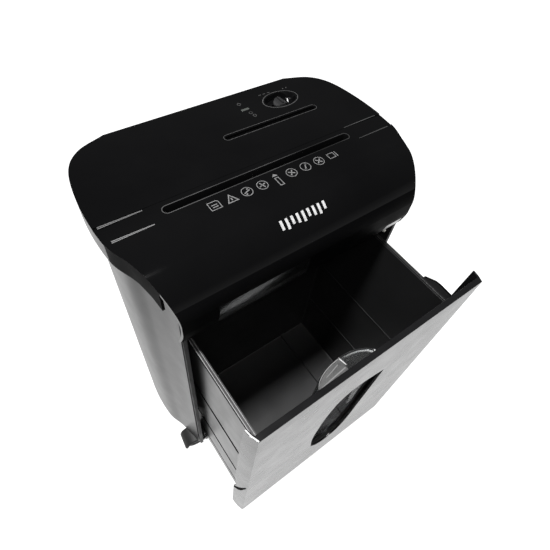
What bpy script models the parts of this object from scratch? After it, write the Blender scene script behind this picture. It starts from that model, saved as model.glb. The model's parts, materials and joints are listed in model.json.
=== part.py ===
"""Paper shredder on casters with a pull-out bin, built piece by piece.

Frame: +X to the right, +Y to the back, +Z up, origin on the floor under the middle of the
machine as it stands with its bin drawn half out. All sizes are in metres.
"""
import math

import bmesh
import bpy
from mathutils import Matrix, Vector

# Heights
TOP_Z = 0.515            # top of the cutting head
SKIRT_DROP = 0.024       # the head's side skirt hangs this far below its top
LIP_Z = 0.432            # lower edge of the head's front
BASE_Z = 0.042           # underside of the body
TRAY_Z = 0.434           # underside of the head's tray
GAP = 0.0004             # clearance between neighbours

# Outlines, right half, as (x, y) from the back to the front
HEAD_SIDE = [(0.118, 0.1680), (0.150, 0.1555), (0.1685, 0.1300), (0.177, 0.0805),
             (0.176, 0.0305), (0.1663, 0.0005), (0.1580, -0.0295), (0.1508, -0.0515)]
BODY_SIDE = [(0.112, 0.1600), (0.143, 0.1480), (0.1605, 0.1240), (0.1695, 0.0780),
             (0.1690, 0.0300), (0.1600, 0.0020), (0.1535, -0.0250), (0.1506, -0.0445)]
# The head's front as (y, z), from the flat top down to the lip
FRONT_CURVE = [(0.0000, 0.5150), (-0.0180, 0.5118), (-0.0335, 0.5012), (-0.0465, 0.4840),
               (-0.0515, 0.4690), (-0.0512, 0.4500), (-0.0465, 0.4320)]
SKIN = 0.0025            # head cover wall
WALL = 0.0026            # body wall

# Slots
SLOT_Y = 0.0405
SLOT_LENGTH = 0.228
SLOT_WIDTH = 0.009
THROAT_WIDTH = 0.0056
CHANNEL = (0.0301, 0.0522)
DISC_SLOT = (-0.0093, 0.1159)
DISC_SLOT_Y = 0.1017
DISC_SLOT_WIDTH = 0.0056
DIAL_CENTRE = (0.088, 0.1335)
LAMP_CENTRE = (0.039, 0.136)

# Cutting block
FRONT_AXIS = (0.025, 0.468)
BACK_AXIS = (0.056, 0.468)
DISC_R, HUB_R, JOURNAL_R = 0.017, 0.0125, 0.005
DISC_PITCH, DISC_WIDTH = 0.016, 0.007
PLATE_X = (0.1195, 0.1225)
BORE_CLEARANCE = 0.00008

# Gears: teeth and modules
TIMING_TEETH, TIMING_MODULE = 16, 0.0019375
DRIVE_TEETH, IDLER_SMALL_TEETH, DRIVE_MODULE = 32, 12, 0.00125
IDLER_TEETH, PINION_TEETH, PINION_MODULE = 36, 12, 0.001
IDLER_ANGLE = math.radians(-14)
PINION_ANGLE = math.radians(5)

# Drawer
FACE_Y = -0.1674         # front panel's face, bin drawn out
FACE_X = 0.147
FACE_Z = (0.0395, 0.452)
BIN_X = 0.1365
BIN_Y = (-0.1595, 0.0445)
BIN_Z = (0.0525, 0.401)
BIN_WALL = 0.0025
POCKET_X, POCKET_DEPTH, POCKET_CENTRE = 0.0535, 0.0205, -0.0115
POCKET_Z = (0.122, 0.4035)

# Casters: stem place and the way each wheel trails, in degrees
CASTERS = {"front_left": (-0.137, -0.022, 172), "front_right": (0.137, -0.022, 60),
           "back_left": (-0.120, 0.122, 75), "back_right": (0.120, 0.122, 100)}
TRAIL = 0.014
CASTER_WHEEL_R = 0.0152

SIDES = 16


# ---------------------------------------------------------------- materials
def material(name, colour, roughness, metallic=0.0, alpha=1.0):
    made = bpy.data.materials.new(name)
    made.use_nodes = True
    shader = made.node_tree.nodes["Principled BSDF"]
    shader.inputs["Base Color"].default_value = (*colour, 1.0)
    shader.inputs["Roughness"].default_value = roughness
    shader.inputs["Metallic"].default_value = metallic
    shader.inputs["Alpha"].default_value = alpha
    return made


FINISHES = {
    "gloss_black": ((0.008, 0.008, 0.009), 0.12, 0.0),
    "satin_black": ((0.012, 0.012, 0.013), 0.35, 0.0),
    "bin_black": ((0.010, 0.010, 0.011), 0.22, 0.0),
    "clear": ((0.85, 0.87, 0.88), 0.05, 0.0),
    "lamp": ((0.75, 0.78, 0.74), 0.25, 0.0),
    "steel": ((0.55, 0.55, 0.54), 0.35, 1.0),
    "zinc": ((0.62, 0.62, 0.60), 0.40, 1.0),
    "bronze": ((0.42, 0.26, 0.12), 0.40, 1.0),
    "nylon": ((0.80, 0.79, 0.74), 0.50, 0.0),
    "board": ((0.03, 0.16, 0.07), 0.50, 0.0),
    "tyre": ((0.02, 0.02, 0.02), 0.60, 0.0),
}


# ---------------------------------------------------------------- helpers
def mesh_object(name, bm):
    bmesh.ops.recalc_face_normals(bm, faces=bm.faces)
    mesh = bpy.data.meshes.new(name)
    bm.to_mesh(mesh)
    bm.free()
    made = bpy.data.objects.new(name, mesh)
    bpy.context.scene.collection.objects.link(made)
    return made


def box(name, low, high):
    low, high = Vector(low), Vector(high)
    bm = bmesh.new()
    place = Matrix.Translation((low + high) / 2) @ Matrix.Diagonal((*(high - low), 1.0))
    bmesh.ops.create_cube(bm, size=1.0, matrix=place)
    return mesh_object(name, bm)


def rod(name, start, end, radius, end_radius=None, sides=SIDES):
    """A round bar or cone from start to end."""
    start, end = Vector(start), Vector(end)
    along = end - start
    turn = along.to_track_quat("Z", "Y").to_matrix().to_4x4()
    bm = bmesh.new()
    bmesh.ops.create_cone(bm, cap_ends=True, segments=sides, radius1=radius,
                          radius2=radius if end_radius is None else end_radius,
                          depth=along.length, matrix=Matrix.Translation((start + end) / 2) @ turn)
    return mesh_object(name, bm)


AXIS_TURNS = {
    "X": Matrix(((0, 0, 1), (1, 0, 0), (0, 1, 0))),     # outline is (y, z)
    "Y": Matrix(((1, 0, 0), (0, 0, -1), (0, 1, 0))),    # outline is (x, z)
    "Z": Matrix.Identity(3),                            # outline is (x, y)
}


def plate(name, axis, low, high, *outlines):
    """A flat outline, with any holes after it, drawn out from low to high along an axis."""
    curve = bpy.data.curves.new(name, "CURVE")
    curve.dimensions = "2D"
    curve.fill_mode = "BOTH"
    curve.extrude = (high - low) / 2
    for outline in outlines:
        spline = curve.splines.new("POLY")
        spline.points.add(len(outline) - 1)
        for point, (u, v) in zip(spline.points, outline):
            point.co = (u, v, 0.0, 1.0)
        spline.use_cyclic_u = True
    drawn = bpy.data.objects.new(name + "_outline", curve)
    bpy.context.scene.collection.objects.link(drawn)
    bpy.context.view_layer.update()
    mesh = bpy.data.meshes.new_from_object(drawn.evaluated_get(bpy.context.evaluated_depsgraph_get()))
    bpy.data.objects.remove(drawn)
    middle = Vector([(low + high) / 2 if letter == axis else 0.0 for letter in "XYZ"])
    bm = bmesh.new()
    bm.from_mesh(mesh)
    bpy.data.meshes.remove(mesh)
    bmesh.ops.remove_doubles(bm, verts=bm.verts, dist=1e-6)
    bmesh.ops.transform(bm, matrix=Matrix.Translation(middle) @ AXIS_TURNS[axis].to_4x4(), verts=bm.verts)
    return mesh_object(name, bm)


def turned(name, axis_y, axis_z, profile, sides=SIDES):
    """A solid of (x, radius) steps turned about a line along X."""
    bm = bmesh.new()
    rings = []
    for x, radius in profile:
        ring = []
        for step in range(sides):
            angle = math.tau * step / sides
            place = (x, axis_y + radius * math.cos(angle), axis_z + radius * math.sin(angle))
            ring.append(bm.verts.new(place))
        rings.append(ring)
    for ring, after in zip(rings, rings[1:]):
        for step in range(sides):
            other = (step + 1) % sides
            bm.faces.new((ring[step], ring[other], after[other], after[step]))
    bm.faces.new(rings[0])
    bm.faces.new(rings[-1])
    return mesh_object(name, bm)


def solve(target, tool, operation):
    """Boolean a tool into the target, and remove the tool."""
    step = target.modifiers.new(operation.title(), "BOOLEAN")
    step.operation = operation
    step.solver = "EXACT"
    step.object = tool
    bpy.context.view_layer.update()
    graph = bpy.context.evaluated_depsgraph_get()
    mesh = bpy.data.meshes.new_from_object(target.evaluated_get(graph))
    target.modifiers.remove(step)
    target.data = mesh
    bpy.data.objects.remove(tool)


def carve(target, *tools):
    for tool in tools:
        solve(target, tool, "DIFFERENCE")


def fuse(target, *tools):
    for tool in tools:
        solve(target, tool, "UNION")


def common(target, *tools):
    for tool in tools:
        solve(target, tool, "INTERSECT")


def smooth(points, steps=6):
    """Points along a Catmull-Rom curve through the given ones."""
    ends = [tuple(2 * a - b for a, b in zip(points[0], points[1]))]
    ends += [tuple(p) for p in points]
    ends += [tuple(2 * a - b for a, b in zip(points[-1], points[-2]))]
    path = []
    for before, here, there, after in zip(ends, ends[1:], ends[2:], ends[3:]):
        for step in range(steps):
            t = step / steps
            path.append(tuple(0.5 * (2 * b + (c - a) * t + (2 * a - 5 * b + 4 * c - d) * t * t
                                     + (3 * b - a - 3 * c + d) * t ** 3)
                              for a, b, c, d in zip(before, here, there, after)))
    path.append(tuple(points[-1]))
    return path


def inset(outline, distance):
    """The closed outline moved inwards by a distance."""
    area = sum(a[0] * b[1] - b[0] * a[1] for a, b in zip(outline, outline[1:] + outline[:1]))
    side = 1.0 if area > 0 else -1.0
    moved = []
    for before, here, after in zip(outline[-1:] + outline[:-1], outline, outline[1:] + outline[:1]):
        first = (Vector(here) - Vector(before)).normalized()
        second = (Vector(after) - Vector(here)).normalized()
        normal = Vector((-(first.y + second.y), first.x + second.x)) * side
        normal.normalize()
        lean = max(0.4, normal.dot(Vector((-first.y, first.x)) * side))
        moved.append(tuple(Vector(here) + normal * distance / lean))
    return moved


def plan(side, steps=6):
    """A symmetric closed outline from the curve of its right side."""
    half = smooth(side, steps)
    return half + [(-x, y) for x, y in reversed(half)]


def front_profile(depth, back, floor):
    """The head's side view moved inwards by depth, closed at the back and below."""
    curve = smooth(FRONT_CURVE, 4)
    corners = [(back + 0.02, TOP_Z)] + curve + [(curve[-1][0] + 0.004, floor), (back + 0.02, floor)]
    if depth == 0:
        return corners
    inner = inset(corners, depth)
    return [(back, inner[0][1])] + inner[1:-2] + [(inner[-2][0], floor), (back, floor)]


def rounded_slot(length_from, length_to, centre, width, steps=6):
    """A long slot's outline with round ends, as (x, y)."""
    radius = width / 2
    points = []
    for end, turn in ((length_to - radius, -90), (length_from + radius, 90)):
        for step in range(steps + 1):
            angle = math.radians(turn + 180 * step / steps)
            points.append((end + radius * math.cos(angle), centre + radius * math.sin(angle)))
    return points


def ellipse(centre, half_x, half_y, steps=28):
    return [(centre[0] + half_x * math.cos(math.tau * step / steps),
             centre[1] + half_y * math.sin(math.tau * step / steps)) for step in range(steps)]


def circle(centre, radius, steps=SIDES):
    return ellipse(centre, radius, radius, steps)


def pivot(name, place):
    """An empty on a joint's axis."""
    empty = bpy.data.objects.new(name, None)
    empty.location = place
    empty.empty_display_size = 0.01
    bpy.context.scene.collection.objects.link(empty)
    return empty


def finish(target, finish_name, parent=None):
    """Give a piece its material, its collection and the empty that it turns or slides with."""
    colour, roughness, metallic = FINISHES[finish_name]
    own = material(target.name + "_" + finish_name, colour, roughness, metallic,
                   0.35 if finish_name == "clear" else 1.0)
    target.data.materials.clear()
    target.data.materials.append(own)
    for polygon in target.data.polygons:
        polygon.material_index = 0
    target.data.name = target.name
    if target.name not in PARTS.objects:
        PARTS.objects.link(target)
        bpy.context.scene.collection.objects.unlink(target)
    if parent is not None:
        target.parent = parent
        target.matrix_parent_inverse = Matrix.Translation(parent.location).inverted()
    return target


# ---------------------------------------------------------------- cutting head
def head_cover():
    """The top shell: flat top, curved front, a short skirt round the sides and back."""
    outline = plan(HEAD_SIDE)
    floor = 0.40
    cover = plate("head_cover", "Z", LIP_Z, TOP_Z + 0.01, outline)
    common(cover, plate("side_view", "X", -0.2, 0.2, front_profile(0, 0.20, floor)))
    hollow = plate("hollow", "Z", floor, TOP_Z + 0.02, inset(outline, SKIN))
    common(hollow, plate("hollow_view", "X", -0.2, 0.2, front_profile(SKIN, 0.20, floor)))
    carve(cover, hollow)
    below = TOP_Z - SKIRT_DROP
    skirt_edge = [(0.2, below), (-0.005, below), (-0.020, below - 0.006), (-0.031, below - 0.017),
                  (-0.031, floor), (0.2, floor)]
    carve(cover, plate("under_skirt", "X", -0.2, 0.2, skirt_edge))
    cheeks = plate("beside_front", "X", -0.2, 0.2, front_profile(SKIN, 0.20, floor))
    common(cheeks, box("front_only", (-0.3, -0.1, 0.3), (0.3, -0.0305, 0.6)))
    carve(cover, cheeks)
    add_throat(cover)
    carve(cover, box("channel", (-0.2, CHANNEL[0], TOP_Z - 0.001), (0.2, CHANNEL[1], 0.6)))
    carve(cover, plate("disc_slot", "Z", 0.45, 0.6,
                       rounded_slot(*DISC_SLOT, DISC_SLOT_Y, DISC_SLOT_WIDTH)))
    carve(cover, plate("dial_hole", "Z", 0.45, 0.6, ellipse(DIAL_CENTRE, 0.0235, 0.0145)))
    lamp_x, lamp_y = LAMP_CENTRE
    carve(cover, plate("lamp_hole", "Z", 0.45, 0.6,
                       rounded_slot(lamp_x - 0.006, lamp_x + 0.006, lamp_y, 0.0044, 4)))
    return finish(cover, "gloss_black")


def add_throat(cover):
    """The paper slot's funnel below the top, and the slot through it."""
    half = SLOT_LENGTH / 2
    deep = TOP_Z - 0.0165
    funnel = plate("funnel", "X", -half - 0.002, half + 0.002,
                   [(SLOT_Y - 0.0065, TOP_Z - 0.0015), (SLOT_Y - 0.0048, deep),
                    (SLOT_Y + 0.0048, deep), (SLOT_Y + 0.0065, TOP_Z - 0.0015)])
    fuse(cover, funnel)
    carve(cover, plate("slot", "Z", 0.45, 0.6,
                       rounded_slot(-half, half, SLOT_Y, THROAT_WIDTH, 4)))
    narrow, wide = THROAT_WIDTH / 2, SLOT_WIDTH / 2 + 0.0005
    mouth = [(SLOT_Y - narrow, TOP_Z - 0.007), (SLOT_Y + narrow, TOP_Z - 0.007),
             (SLOT_Y + wide, TOP_Z + 0.001), (SLOT_Y - wide, TOP_Z + 0.001)]
    carve(cover, plate("mouth", "X", -half, half, mouth))


def head_tray():
    """The head's floor, with the outlet that the shreds fall through."""
    side = smooth(BODY_SIDE, 3)
    outline = inset(side + [(-x, y) for x, y in reversed(side)], WALL + GAP)
    outline = [(x, max(y, -0.0405)) for x, y in outline]
    tray = plate("head_tray", "Z", TRAY_Z, TRAY_Z + 0.003, outline)
    fuse(tray, box("front_upstand", (-0.140, -0.0400, TRAY_Z + 0.001), (0.140, -0.0375, 0.462)))
    for x, y in ((0.040, 0.110), (0.092, 0.134)):
        fuse(tray, rod("board_post", (x, y, TRAY_Z + 0.001), (x, y, 0.4401), 0.003, sides=10))
    carve(tray, box("outlet", (-0.1165, 0.006, 0.42), (0.1165, 0.075, 0.45)))
    for x, y in screw_places():
        carve(tray, rod("screw_hole", (x, y, 0.42), (x, y, 0.45), 0.0021, sides=12))
    return finish(tray, "satin_black")


def dial():
    """The oval dish of the control, its sliding knob and the lamp beside it."""
    cx, cy = DIAL_CENTRE
    bezel = plate("control_bezel", "Z", TOP_Z - 0.0085, TOP_Z - 0.0002, ellipse(DIAL_CENTRE, 0.0231, 0.0141))
    hollow = rod("dish", (cx, cy, TOP_Z - 0.007), (cx, cy, TOP_Z + 0.002), 0.0118, 0.0138, sides=28)
    for vertex in hollow.data.vertices:
        vertex.co.x = cx + (vertex.co.x - cx) * 1.62
    carve(bezel, hollow)
    carve(bezel, plate("knob_way", "Z", 0.48, 0.53, rounded_slot(cx - 0.012, cx + 0.012, cy, 0.005, 4)))
    finish(bezel, "satin_black")

    centre = pivot("knob_slide", (cx, cy, TOP_Z - 0.004))
    knob = plate("control_switch", "Z", TOP_Z - 0.0066, TOP_Z - 0.0022,
                 ellipse(DIAL_CENTRE, 0.0085, 0.0075, 20))
    fuse(knob, plate("grip", "Y", cy - 0.0058, cy + 0.0058,
                     [(cx - 0.0012, TOP_Z - 0.003), (cx + 0.0012, TOP_Z - 0.003),
                      (cx + 0.0006, TOP_Z - 0.0002), (cx - 0.0006, TOP_Z - 0.0002)]))
    fuse(knob, plate("stem", "Z", TOP_Z - 0.0125, TOP_Z - 0.006,
                     rounded_slot(cx - 0.004, cx + 0.004, cy, 0.0042, 4)))
    fuse(knob, box("keeper", (cx - 0.004, cy - 0.005, TOP_Z - 0.0125),
                   (cx + 0.004, cy + 0.005, TOP_Z - 0.0095)))
    finish(knob, "satin_black", centre)

    lamp = plate("indicator_lens", "Z", TOP_Z - 0.006, TOP_Z - 0.0002,
                 rounded_slot(LAMP_CENTRE[0] - 0.0057, LAMP_CENTRE[0] + 0.0057, LAMP_CENTRE[1], 0.0038, 4))
    finish(lamp, "lamp")


def feed_path():
    """Guides below the slot, the paper sensor's lever and pin, and the disc ramp."""
    half = SLOT_LENGTH / 2 - 0.001
    front = box("front_feed_guide", (-half, 0.0335, 0.4868), (half, 0.0350, 0.4978))
    carve(front, box("lever_gate", (-0.004, 0.03, 0.480), (0.004, 0.04, 0.4950)))
    for side in (-1, 1):
        low, high = sorted((side * 0.0060, side * 0.0090))
        fuse(front, box("ear", (low, 0.0260, 0.4868), (high, 0.0340, 0.4978)))
    carve(front, rod("pin_hole", (-0.02, 0.0288, 0.4925), (0.02, 0.0288, 0.4925), 0.0015, sides=16))
    finish(front, "satin_black")
    back = box("back_feed_guide", (-half, 0.0460, 0.4868), (half, 0.0475, 0.4978))
    finish(back, "satin_black")

    finish(rod("sensor_pin", (-0.0092, 0.0288, 0.4925), (0.0092, 0.0288, 0.4925), 0.0012, sides=16), "steel")
    hinge = pivot("lever_hinge", (0, 0.0288, 0.4925))
    lever = rod("sensor_lever", (-0.0035, 0.0288, 0.4925), (0.0035, 0.0288, 0.4925), 0.0024, sides=16)
    fuse(lever, box("arm", (-0.0025, 0.0295, 0.4918), (0.0025, 0.0440, 0.4932)))
    carve(lever, rod("bore", (-0.01, 0.0288, 0.4925), (0.01, 0.0288, 0.4925), 0.00128, sides=16))
    finish(lever, "nylon", hinge)

    ramp = plate("disc_ramp", "X", DISC_SLOT[0] - 0.002, DISC_SLOT[1] + 0.002,
                 [(0.1055, 0.5118), (0.1075, 0.5118), (0.1065, 0.4960), (0.0800, 0.4905), (0.0500, 0.4888),
                  (0.0500, 0.4905), (0.0790, 0.4923), (0.1045, 0.4978)])
    finish(ramp, "satin_black")


def screw_places():
    return [(side * 0.1275, y) for side in (-1, 1) for y in (0.0100, 0.0780)]


def cutting_frame():
    """Two steel end plates, four tie rods, the screws, the bushes and the scraper combs."""
    idler_y, idler_z = idler_axis()
    motor_y, motor_z = pinion_axis()
    for side, name, back in ((-1, "left_frame_plate", 0.132), (1, "right_frame_plate", 0.085)):
        low, high = sorted((side * PLATE_X[0], side * PLATE_X[1]))
        outline = [(0.003, 0.4375), (back, 0.4375), (back, 0.488), (back - 0.012, 0.4985), (0.010, 0.4985),
                   (0.003, 0.4915)]
        holes = [circle(FRONT_AXIS, 0.0080), circle(BACK_AXIS, 0.0080)]
        holes += [circle(place, 0.0028, 12) for place in rod_places()]
        if side < 0:
            holes += [circle((idler_y, idler_z), 0.0029, 12), circle((motor_y, motor_z), 0.0075, 16)]
        end = plate(name, "X", low, high, outline, *holes)
        low, high = sorted((side * 0.1210, side * 0.1335))
        fuse(end, box("foot", (low, 0.003, 0.4375), (high, 0.086 if side < 0 else 0.085, 0.4390)))
        for x, y in screw_places():
            if x * side > 0:
                carve(end, rod("screw_hole", (x, y, 0.43), (x, y, 0.445), 0.0019, sides=12))
        finish(end, "zinc")
    for number, (y, z) in enumerate(rod_places(), 1):
        finish(rod(f"tie_rod_{number}", (-0.1240, y, z), (0.1240, y, z), 0.0025, sides=12), "steel")
    for number, (x, y) in enumerate(screw_places(), 1):
        screw = rod(f"frame_screw_{number}", (x, y, 0.4318), (x, y, 0.4337), 0.0028, 0.0038, sides=12)
        fuse(screw, rod("shank", (x, y, 0.4330), (x, y, 0.4430), 0.0015, sides=12))
        finish(screw, "steel")
    for side, word in ((-1, "left"), (1, "right")):
        for axis, place in ((FRONT_AXIS, "front"), (BACK_AXIS, "back")):
            inner, outer = side * (PLATE_X[0] - 0.0015), side * (PLATE_X[1] + 0.0015)
            bush = rod(f"{place}_bush_{word}", (inner, *axis), (outer, *axis), 0.0077)
            hole = (JOURNAL_R + BORE_CLEARANCE) / math.cos(math.pi / SIDES)
            carve(bush, rod("bore", (side * 0.11, *axis), (side * 0.13, *axis), hole))
            finish(bush, "bronze")


def rod_places():
    return [(0.0085, 0.4440), (0.0085, 0.4925), (0.0735, 0.4440), (0.0765, 0.4800)]


def scrapers():
    """A comb on each side, its fingers between the other discs, clear of the hubs."""
    for name, axis, direction, starts in (("front_scraper", FRONT_AXIS, -1, front_discs()),
                                          ("back_scraper", BACK_AXIS, 1, back_discs())):
        near = axis[0] + direction * (DISC_R + 0.0010)
        far = axis[0] + direction * (DISC_R + 0.0040)
        low, high = sorted((near, far))
        comb = box(name, (-0.1190, low, 0.4600), (0.1190, high, 0.4760))
        tip = axis[0] + direction * (HUB_R + 0.0008)
        low, high = sorted((tip, axis[0] + direction * (DISC_R + 0.0020)))
        for first, second in zip(starts, starts[1:]):
            middle = (first + second) / 2
            fuse(comb, box("finger", (middle - 0.003, low, 0.4650), (middle + 0.003, high, 0.4710)))
        finish(comb, "zinc")


def front_discs():
    return [-0.104 + DISC_PITCH * step for step in range(14)]


def back_discs():
    return [-0.096 + DISC_PITCH * step for step in range(13)]


def cutters():
    """Two shafts of discs that turn towards each other."""
    for name, axis, centres, left_end in (("front_cutter", FRONT_AXIS, front_discs(), -0.1345),
                                          ("back_cutter", BACK_AXIS, back_discs(), -0.1430)):
        profile = [(left_end, JOURNAL_R), (-0.1170, JOURNAL_R), (-0.1170, HUB_R)]
        for centre in centres:
            start, end = centre - DISC_WIDTH / 2, centre + DISC_WIDTH / 2
            profile += [(start, HUB_R), (start, DISC_R), (end, DISC_R), (end, HUB_R)]
        profile += [(0.1170, HUB_R), (0.1170, JOURNAL_R), (0.1262, JOURNAL_R)]
        finish(turned(name, *axis, profile), "steel", pivot(name + "_axis", (0, *axis)))


# ---------------------------------------------------------------- gear train
def idler_axis():
    reach = DRIVE_MODULE * (DRIVE_TEETH + IDLER_SMALL_TEETH) / 2
    return (BACK_AXIS[0] + reach * math.cos(IDLER_ANGLE), BACK_AXIS[1] + reach * math.sin(IDLER_ANGLE))


def pinion_axis():
    reach = PINION_MODULE * (IDLER_TEETH + PINION_TEETH) / 2
    y, z = idler_axis()
    return (y + reach * math.cos(PINION_ANGLE), z + reach * math.sin(PINION_ANGLE))


def mesh_phase(phase, teeth, other_teeth, direction):
    """Angle of a tooth on the second gear when the first has one at phase."""
    pitch, other_pitch = math.tau / teeth, math.tau / other_teeth
    along = ((direction - phase) % pitch) / pitch
    return direction + math.pi - (0.5 - along) * other_pitch


def gear_outline(axis, teeth, module, phase):
    """Straight-flanked teeth with running backlash."""
    radius = module * teeth / 2
    root, tip = radius - 1.15 * module, radius + 0.80 * module
    pitch = math.tau / teeth
    points = []
    for tooth in range(teeth):
        middle = phase + tooth * pitch
        for distance, offset in ((root, -0.27), (tip, -0.11), (tip, 0.11), (root, 0.27)):
            angle = middle + offset * pitch
            points.append((axis[0] + distance * math.cos(angle), axis[1] + distance * math.sin(angle)))
    return points


def gear(name, axis, teeth, module, phase, low, high, bore, finish_name, parent):
    wheel = plate(name, "X", low, high, gear_outline(axis, teeth, module, phase), circle(axis, bore, 16))
    return finish(wheel, finish_name, parent)


def gear_train():
    """Timing gears on the cutters, a reduction through an idler, and the motor's pinion."""
    front, back = bpy.data.objects["front_cutter_axis"], bpy.data.objects["back_cutter_axis"]
    toward_front = math.pi
    gear("back_timing_gear", BACK_AXIS, TIMING_TEETH, TIMING_MODULE, 0.0, -0.1333, -0.1275,
         JOURNAL_R + 0.0003, "steel", back)
    gear("front_timing_gear", FRONT_AXIS, TIMING_TEETH, TIMING_MODULE,
         mesh_phase(0.0, TIMING_TEETH, TIMING_TEETH, toward_front), -0.1333, -0.1275,
         JOURNAL_R + 0.0003, "steel", front)
    gear("drive_gear", BACK_AXIS, DRIVE_TEETH, DRIVE_MODULE, 0.0, -0.1415, -0.1355,
         JOURNAL_R + 0.0003, "nylon", back)

    small_phase = mesh_phase(0.0, DRIVE_TEETH, IDLER_SMALL_TEETH, IDLER_ANGLE)
    axis = idler_axis()
    idler = plate("idler_gear", "X", -0.1422, -0.1350,
                  gear_outline(axis, IDLER_SMALL_TEETH, DRIVE_MODULE, small_phase))
    fuse(idler, plate("large_wheel", "X", -0.1480, -0.1420,
                      gear_outline(axis, IDLER_TEETH, PINION_MODULE, small_phase)))
    hole = (0.0025 + BORE_CLEARANCE) / math.cos(math.pi / SIDES)
    carve(idler, rod("bore", (-0.155, *axis), (-0.130, *axis), hole))
    finish(idler, "nylon", pivot("idler_gear_axis", (0, *axis)))
    finish(rod("idler_pin", (-0.1495, *axis), (-0.1190, *axis), 0.0025), "steel")

    rotor_axis = pivot("motor_rotor_axis", (0, *pinion_axis()))
    gear("motor_pinion", pinion_axis(), PINION_TEETH, PINION_MODULE,
         mesh_phase(small_phase, IDLER_TEETH, PINION_TEETH, PINION_ANGLE), -0.1485, -0.1415,
         0.0023, "steel", rotor_axis)


def motor():
    """An open can with a rotor on a shaft, and an end cap."""
    axis = pinion_axis()
    can = rod("motor_can", (-0.1180, *axis), (-0.0500, *axis), 0.0205)
    carve(can, rod("inside", (-0.1150, *axis), (-0.0400, *axis), 0.0185))
    shaft_hole = (0.0020 + BORE_CLEARANCE) / math.cos(math.pi / SIDES)
    carve(can, rod("shaft_hole", (-0.1250, *axis), (-0.1100, *axis), shaft_hole))
    finish(can, "zinc")
    cap = rod("motor_end_cap", (-0.0496, *axis), (-0.0440, *axis), 0.0205)
    carve(cap, rod("shaft_hole", (-0.0520, *axis), (-0.0400, *axis), shaft_hole))
    finish(cap, "satin_black")
    rotor = rod("motor_rotor", (-0.1490, *axis), (-0.0420, *axis), 0.0020)
    fuse(rotor, rod("core", (-0.1100, *axis), (-0.0560, *axis), 0.0165))
    finish(rotor, "steel", bpy.data.objects["motor_rotor_axis"])


def electrics():
    """The circuit board with its capacitor, and the gland for the mains lead."""
    finish(box("circuit_board", (0.028, 0.100, 0.4405), (0.104, 0.144, 0.4421)), "board")
    finish(rod("capacitor", (0.045, 0.122, 0.4520), (0.088, 0.122, 0.4520), 0.0095, sides=20), "satin_black")
    gland = rod("cable_gland", (-0.085, 0.1558, 0.400), (-0.085, 0.1672, 0.400), 0.0052, sides=20)
    fuse(gland, rod("flange", (-0.085, 0.1602, 0.400), (-0.085, 0.1632, 0.400), 0.0085, sides=20))
    carve(gland, rod("lead_hole", (-0.085, 0.15, 0.400), (-0.085, 0.17, 0.400), 0.0034, sides=20))
    finish(gland, "satin_black")


# ---------------------------------------------------------------- body
def body_shell(name, side):
    """One barrel-shaped side wall with its rounded ear beside the head's front."""
    outer = plan(BODY_SIDE)
    shell = plate(name, "Z", BASE_Z, 0.53, outer, inset(outer, WALL))
    low, high = sorted((side * 0.1122, side * 0.2))
    common(shell, box("half", (low, -0.1, 0.0), (high, 0.2, 0.6)))
    roof = front_profile(SKIN + 0.0012, 0.20, 0.0)
    common(shell, plate("roof", "X", -0.2, 0.2, roof))
    above = TOP_Z - SKIRT_DROP + 0.004
    carve(shell, box("under_skirt", (-0.2, -0.0290, above), (0.2, 0.2, 0.6)))
    carve(shell, box("mouth", (-0.1448, -0.06, 0.0), (0.1448, -0.0405, 0.6)))
    liner = [(0.1448, -0.0441), (0.1495, -0.0441), (0.1495, -0.0415), (0.1472, -0.0415), (0.1472, -0.0142),
             (0.1545, -0.0142), (0.1545, -0.0120), (0.1448, -0.0120)]
    fuse(shell, plate("liner", "Z", BASE_Z + 0.0006, LIP_Z - 0.0006, [(side * x, y) for x, y in liner]))
    if side > 0:
        carve(shell, box("switch_hole", (0.1400, -0.0405, 0.4050), (0.1489, -0.0333, 0.4200)))
    return finish(shell, "gloss_black")


def body():
    body_shell("left_side_wall", -1)
    body_shell("right_side_wall", 1)
    back = box("back_wall", (-0.1118, 0.1574, BASE_Z), (0.1118, 0.1600, 0.4945))
    for row in range(5):
        for column in (-1, 1):
            x, z = column * 0.045, 0.452 + 0.007 * row
            carve(back, box("vent", (x - 0.022, 0.15, z), (x + 0.022, 0.17, z + 0.003)))
    carve(back, rod("gland_hole", (-0.085, 0.15, 0.400), (-0.085, 0.17, 0.400), 0.0055, sides=20))
    finish(back, "gloss_black")
    base_plate()
    for side, name in ((-1, "left_runner"), (1, "right_runner")):
        low, high = sorted((side * 0.1080, side * 0.1300))
        runner = box(name, (low, -0.0380, BASE_Z + 0.0054), (high, 0.1460, BIN_Z[0] - 0.0012))
        low, high = sorted((side * 0.1392, side * 0.1300))
        fuse(runner, box("shelf", (low, -0.0380, BASE_Z + 0.0054), (high, 0.1200, BASE_Z + 0.0075)))
        low, high = sorted((side * 0.1375, side * 0.1392))
        fuse(runner, box("fence", (low, -0.0380, BASE_Z + 0.0054), (high, 0.1100, BASE_Z + 0.0220)))
        finish(runner, "satin_black")


def base_plate():
    """The floor of the body, with a socket for each caster's stem."""
    side = smooth(BODY_SIDE, 3)
    outline = inset(side + [(-x, y) for x, y in reversed(side)], WALL + GAP)
    outline = [(min(0.1442, max(-0.1442, x)) if y < 0.003 else x, max(y, -0.0435)) for x, y in outline]
    base = plate("base_plate", "Z", BASE_Z, BASE_Z + 0.005, outline)
    for x, y, _ in CASTERS.values():
        carve(base, rod("socket", (x, y, BASE_Z - 0.01), (x, y, BASE_Z + 0.02), caster_socket()))
    return finish(base, "satin_black")


def caster_socket():
    return (0.0035 + BORE_CLEARANCE) / math.cos(math.pi / SIDES)


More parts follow.
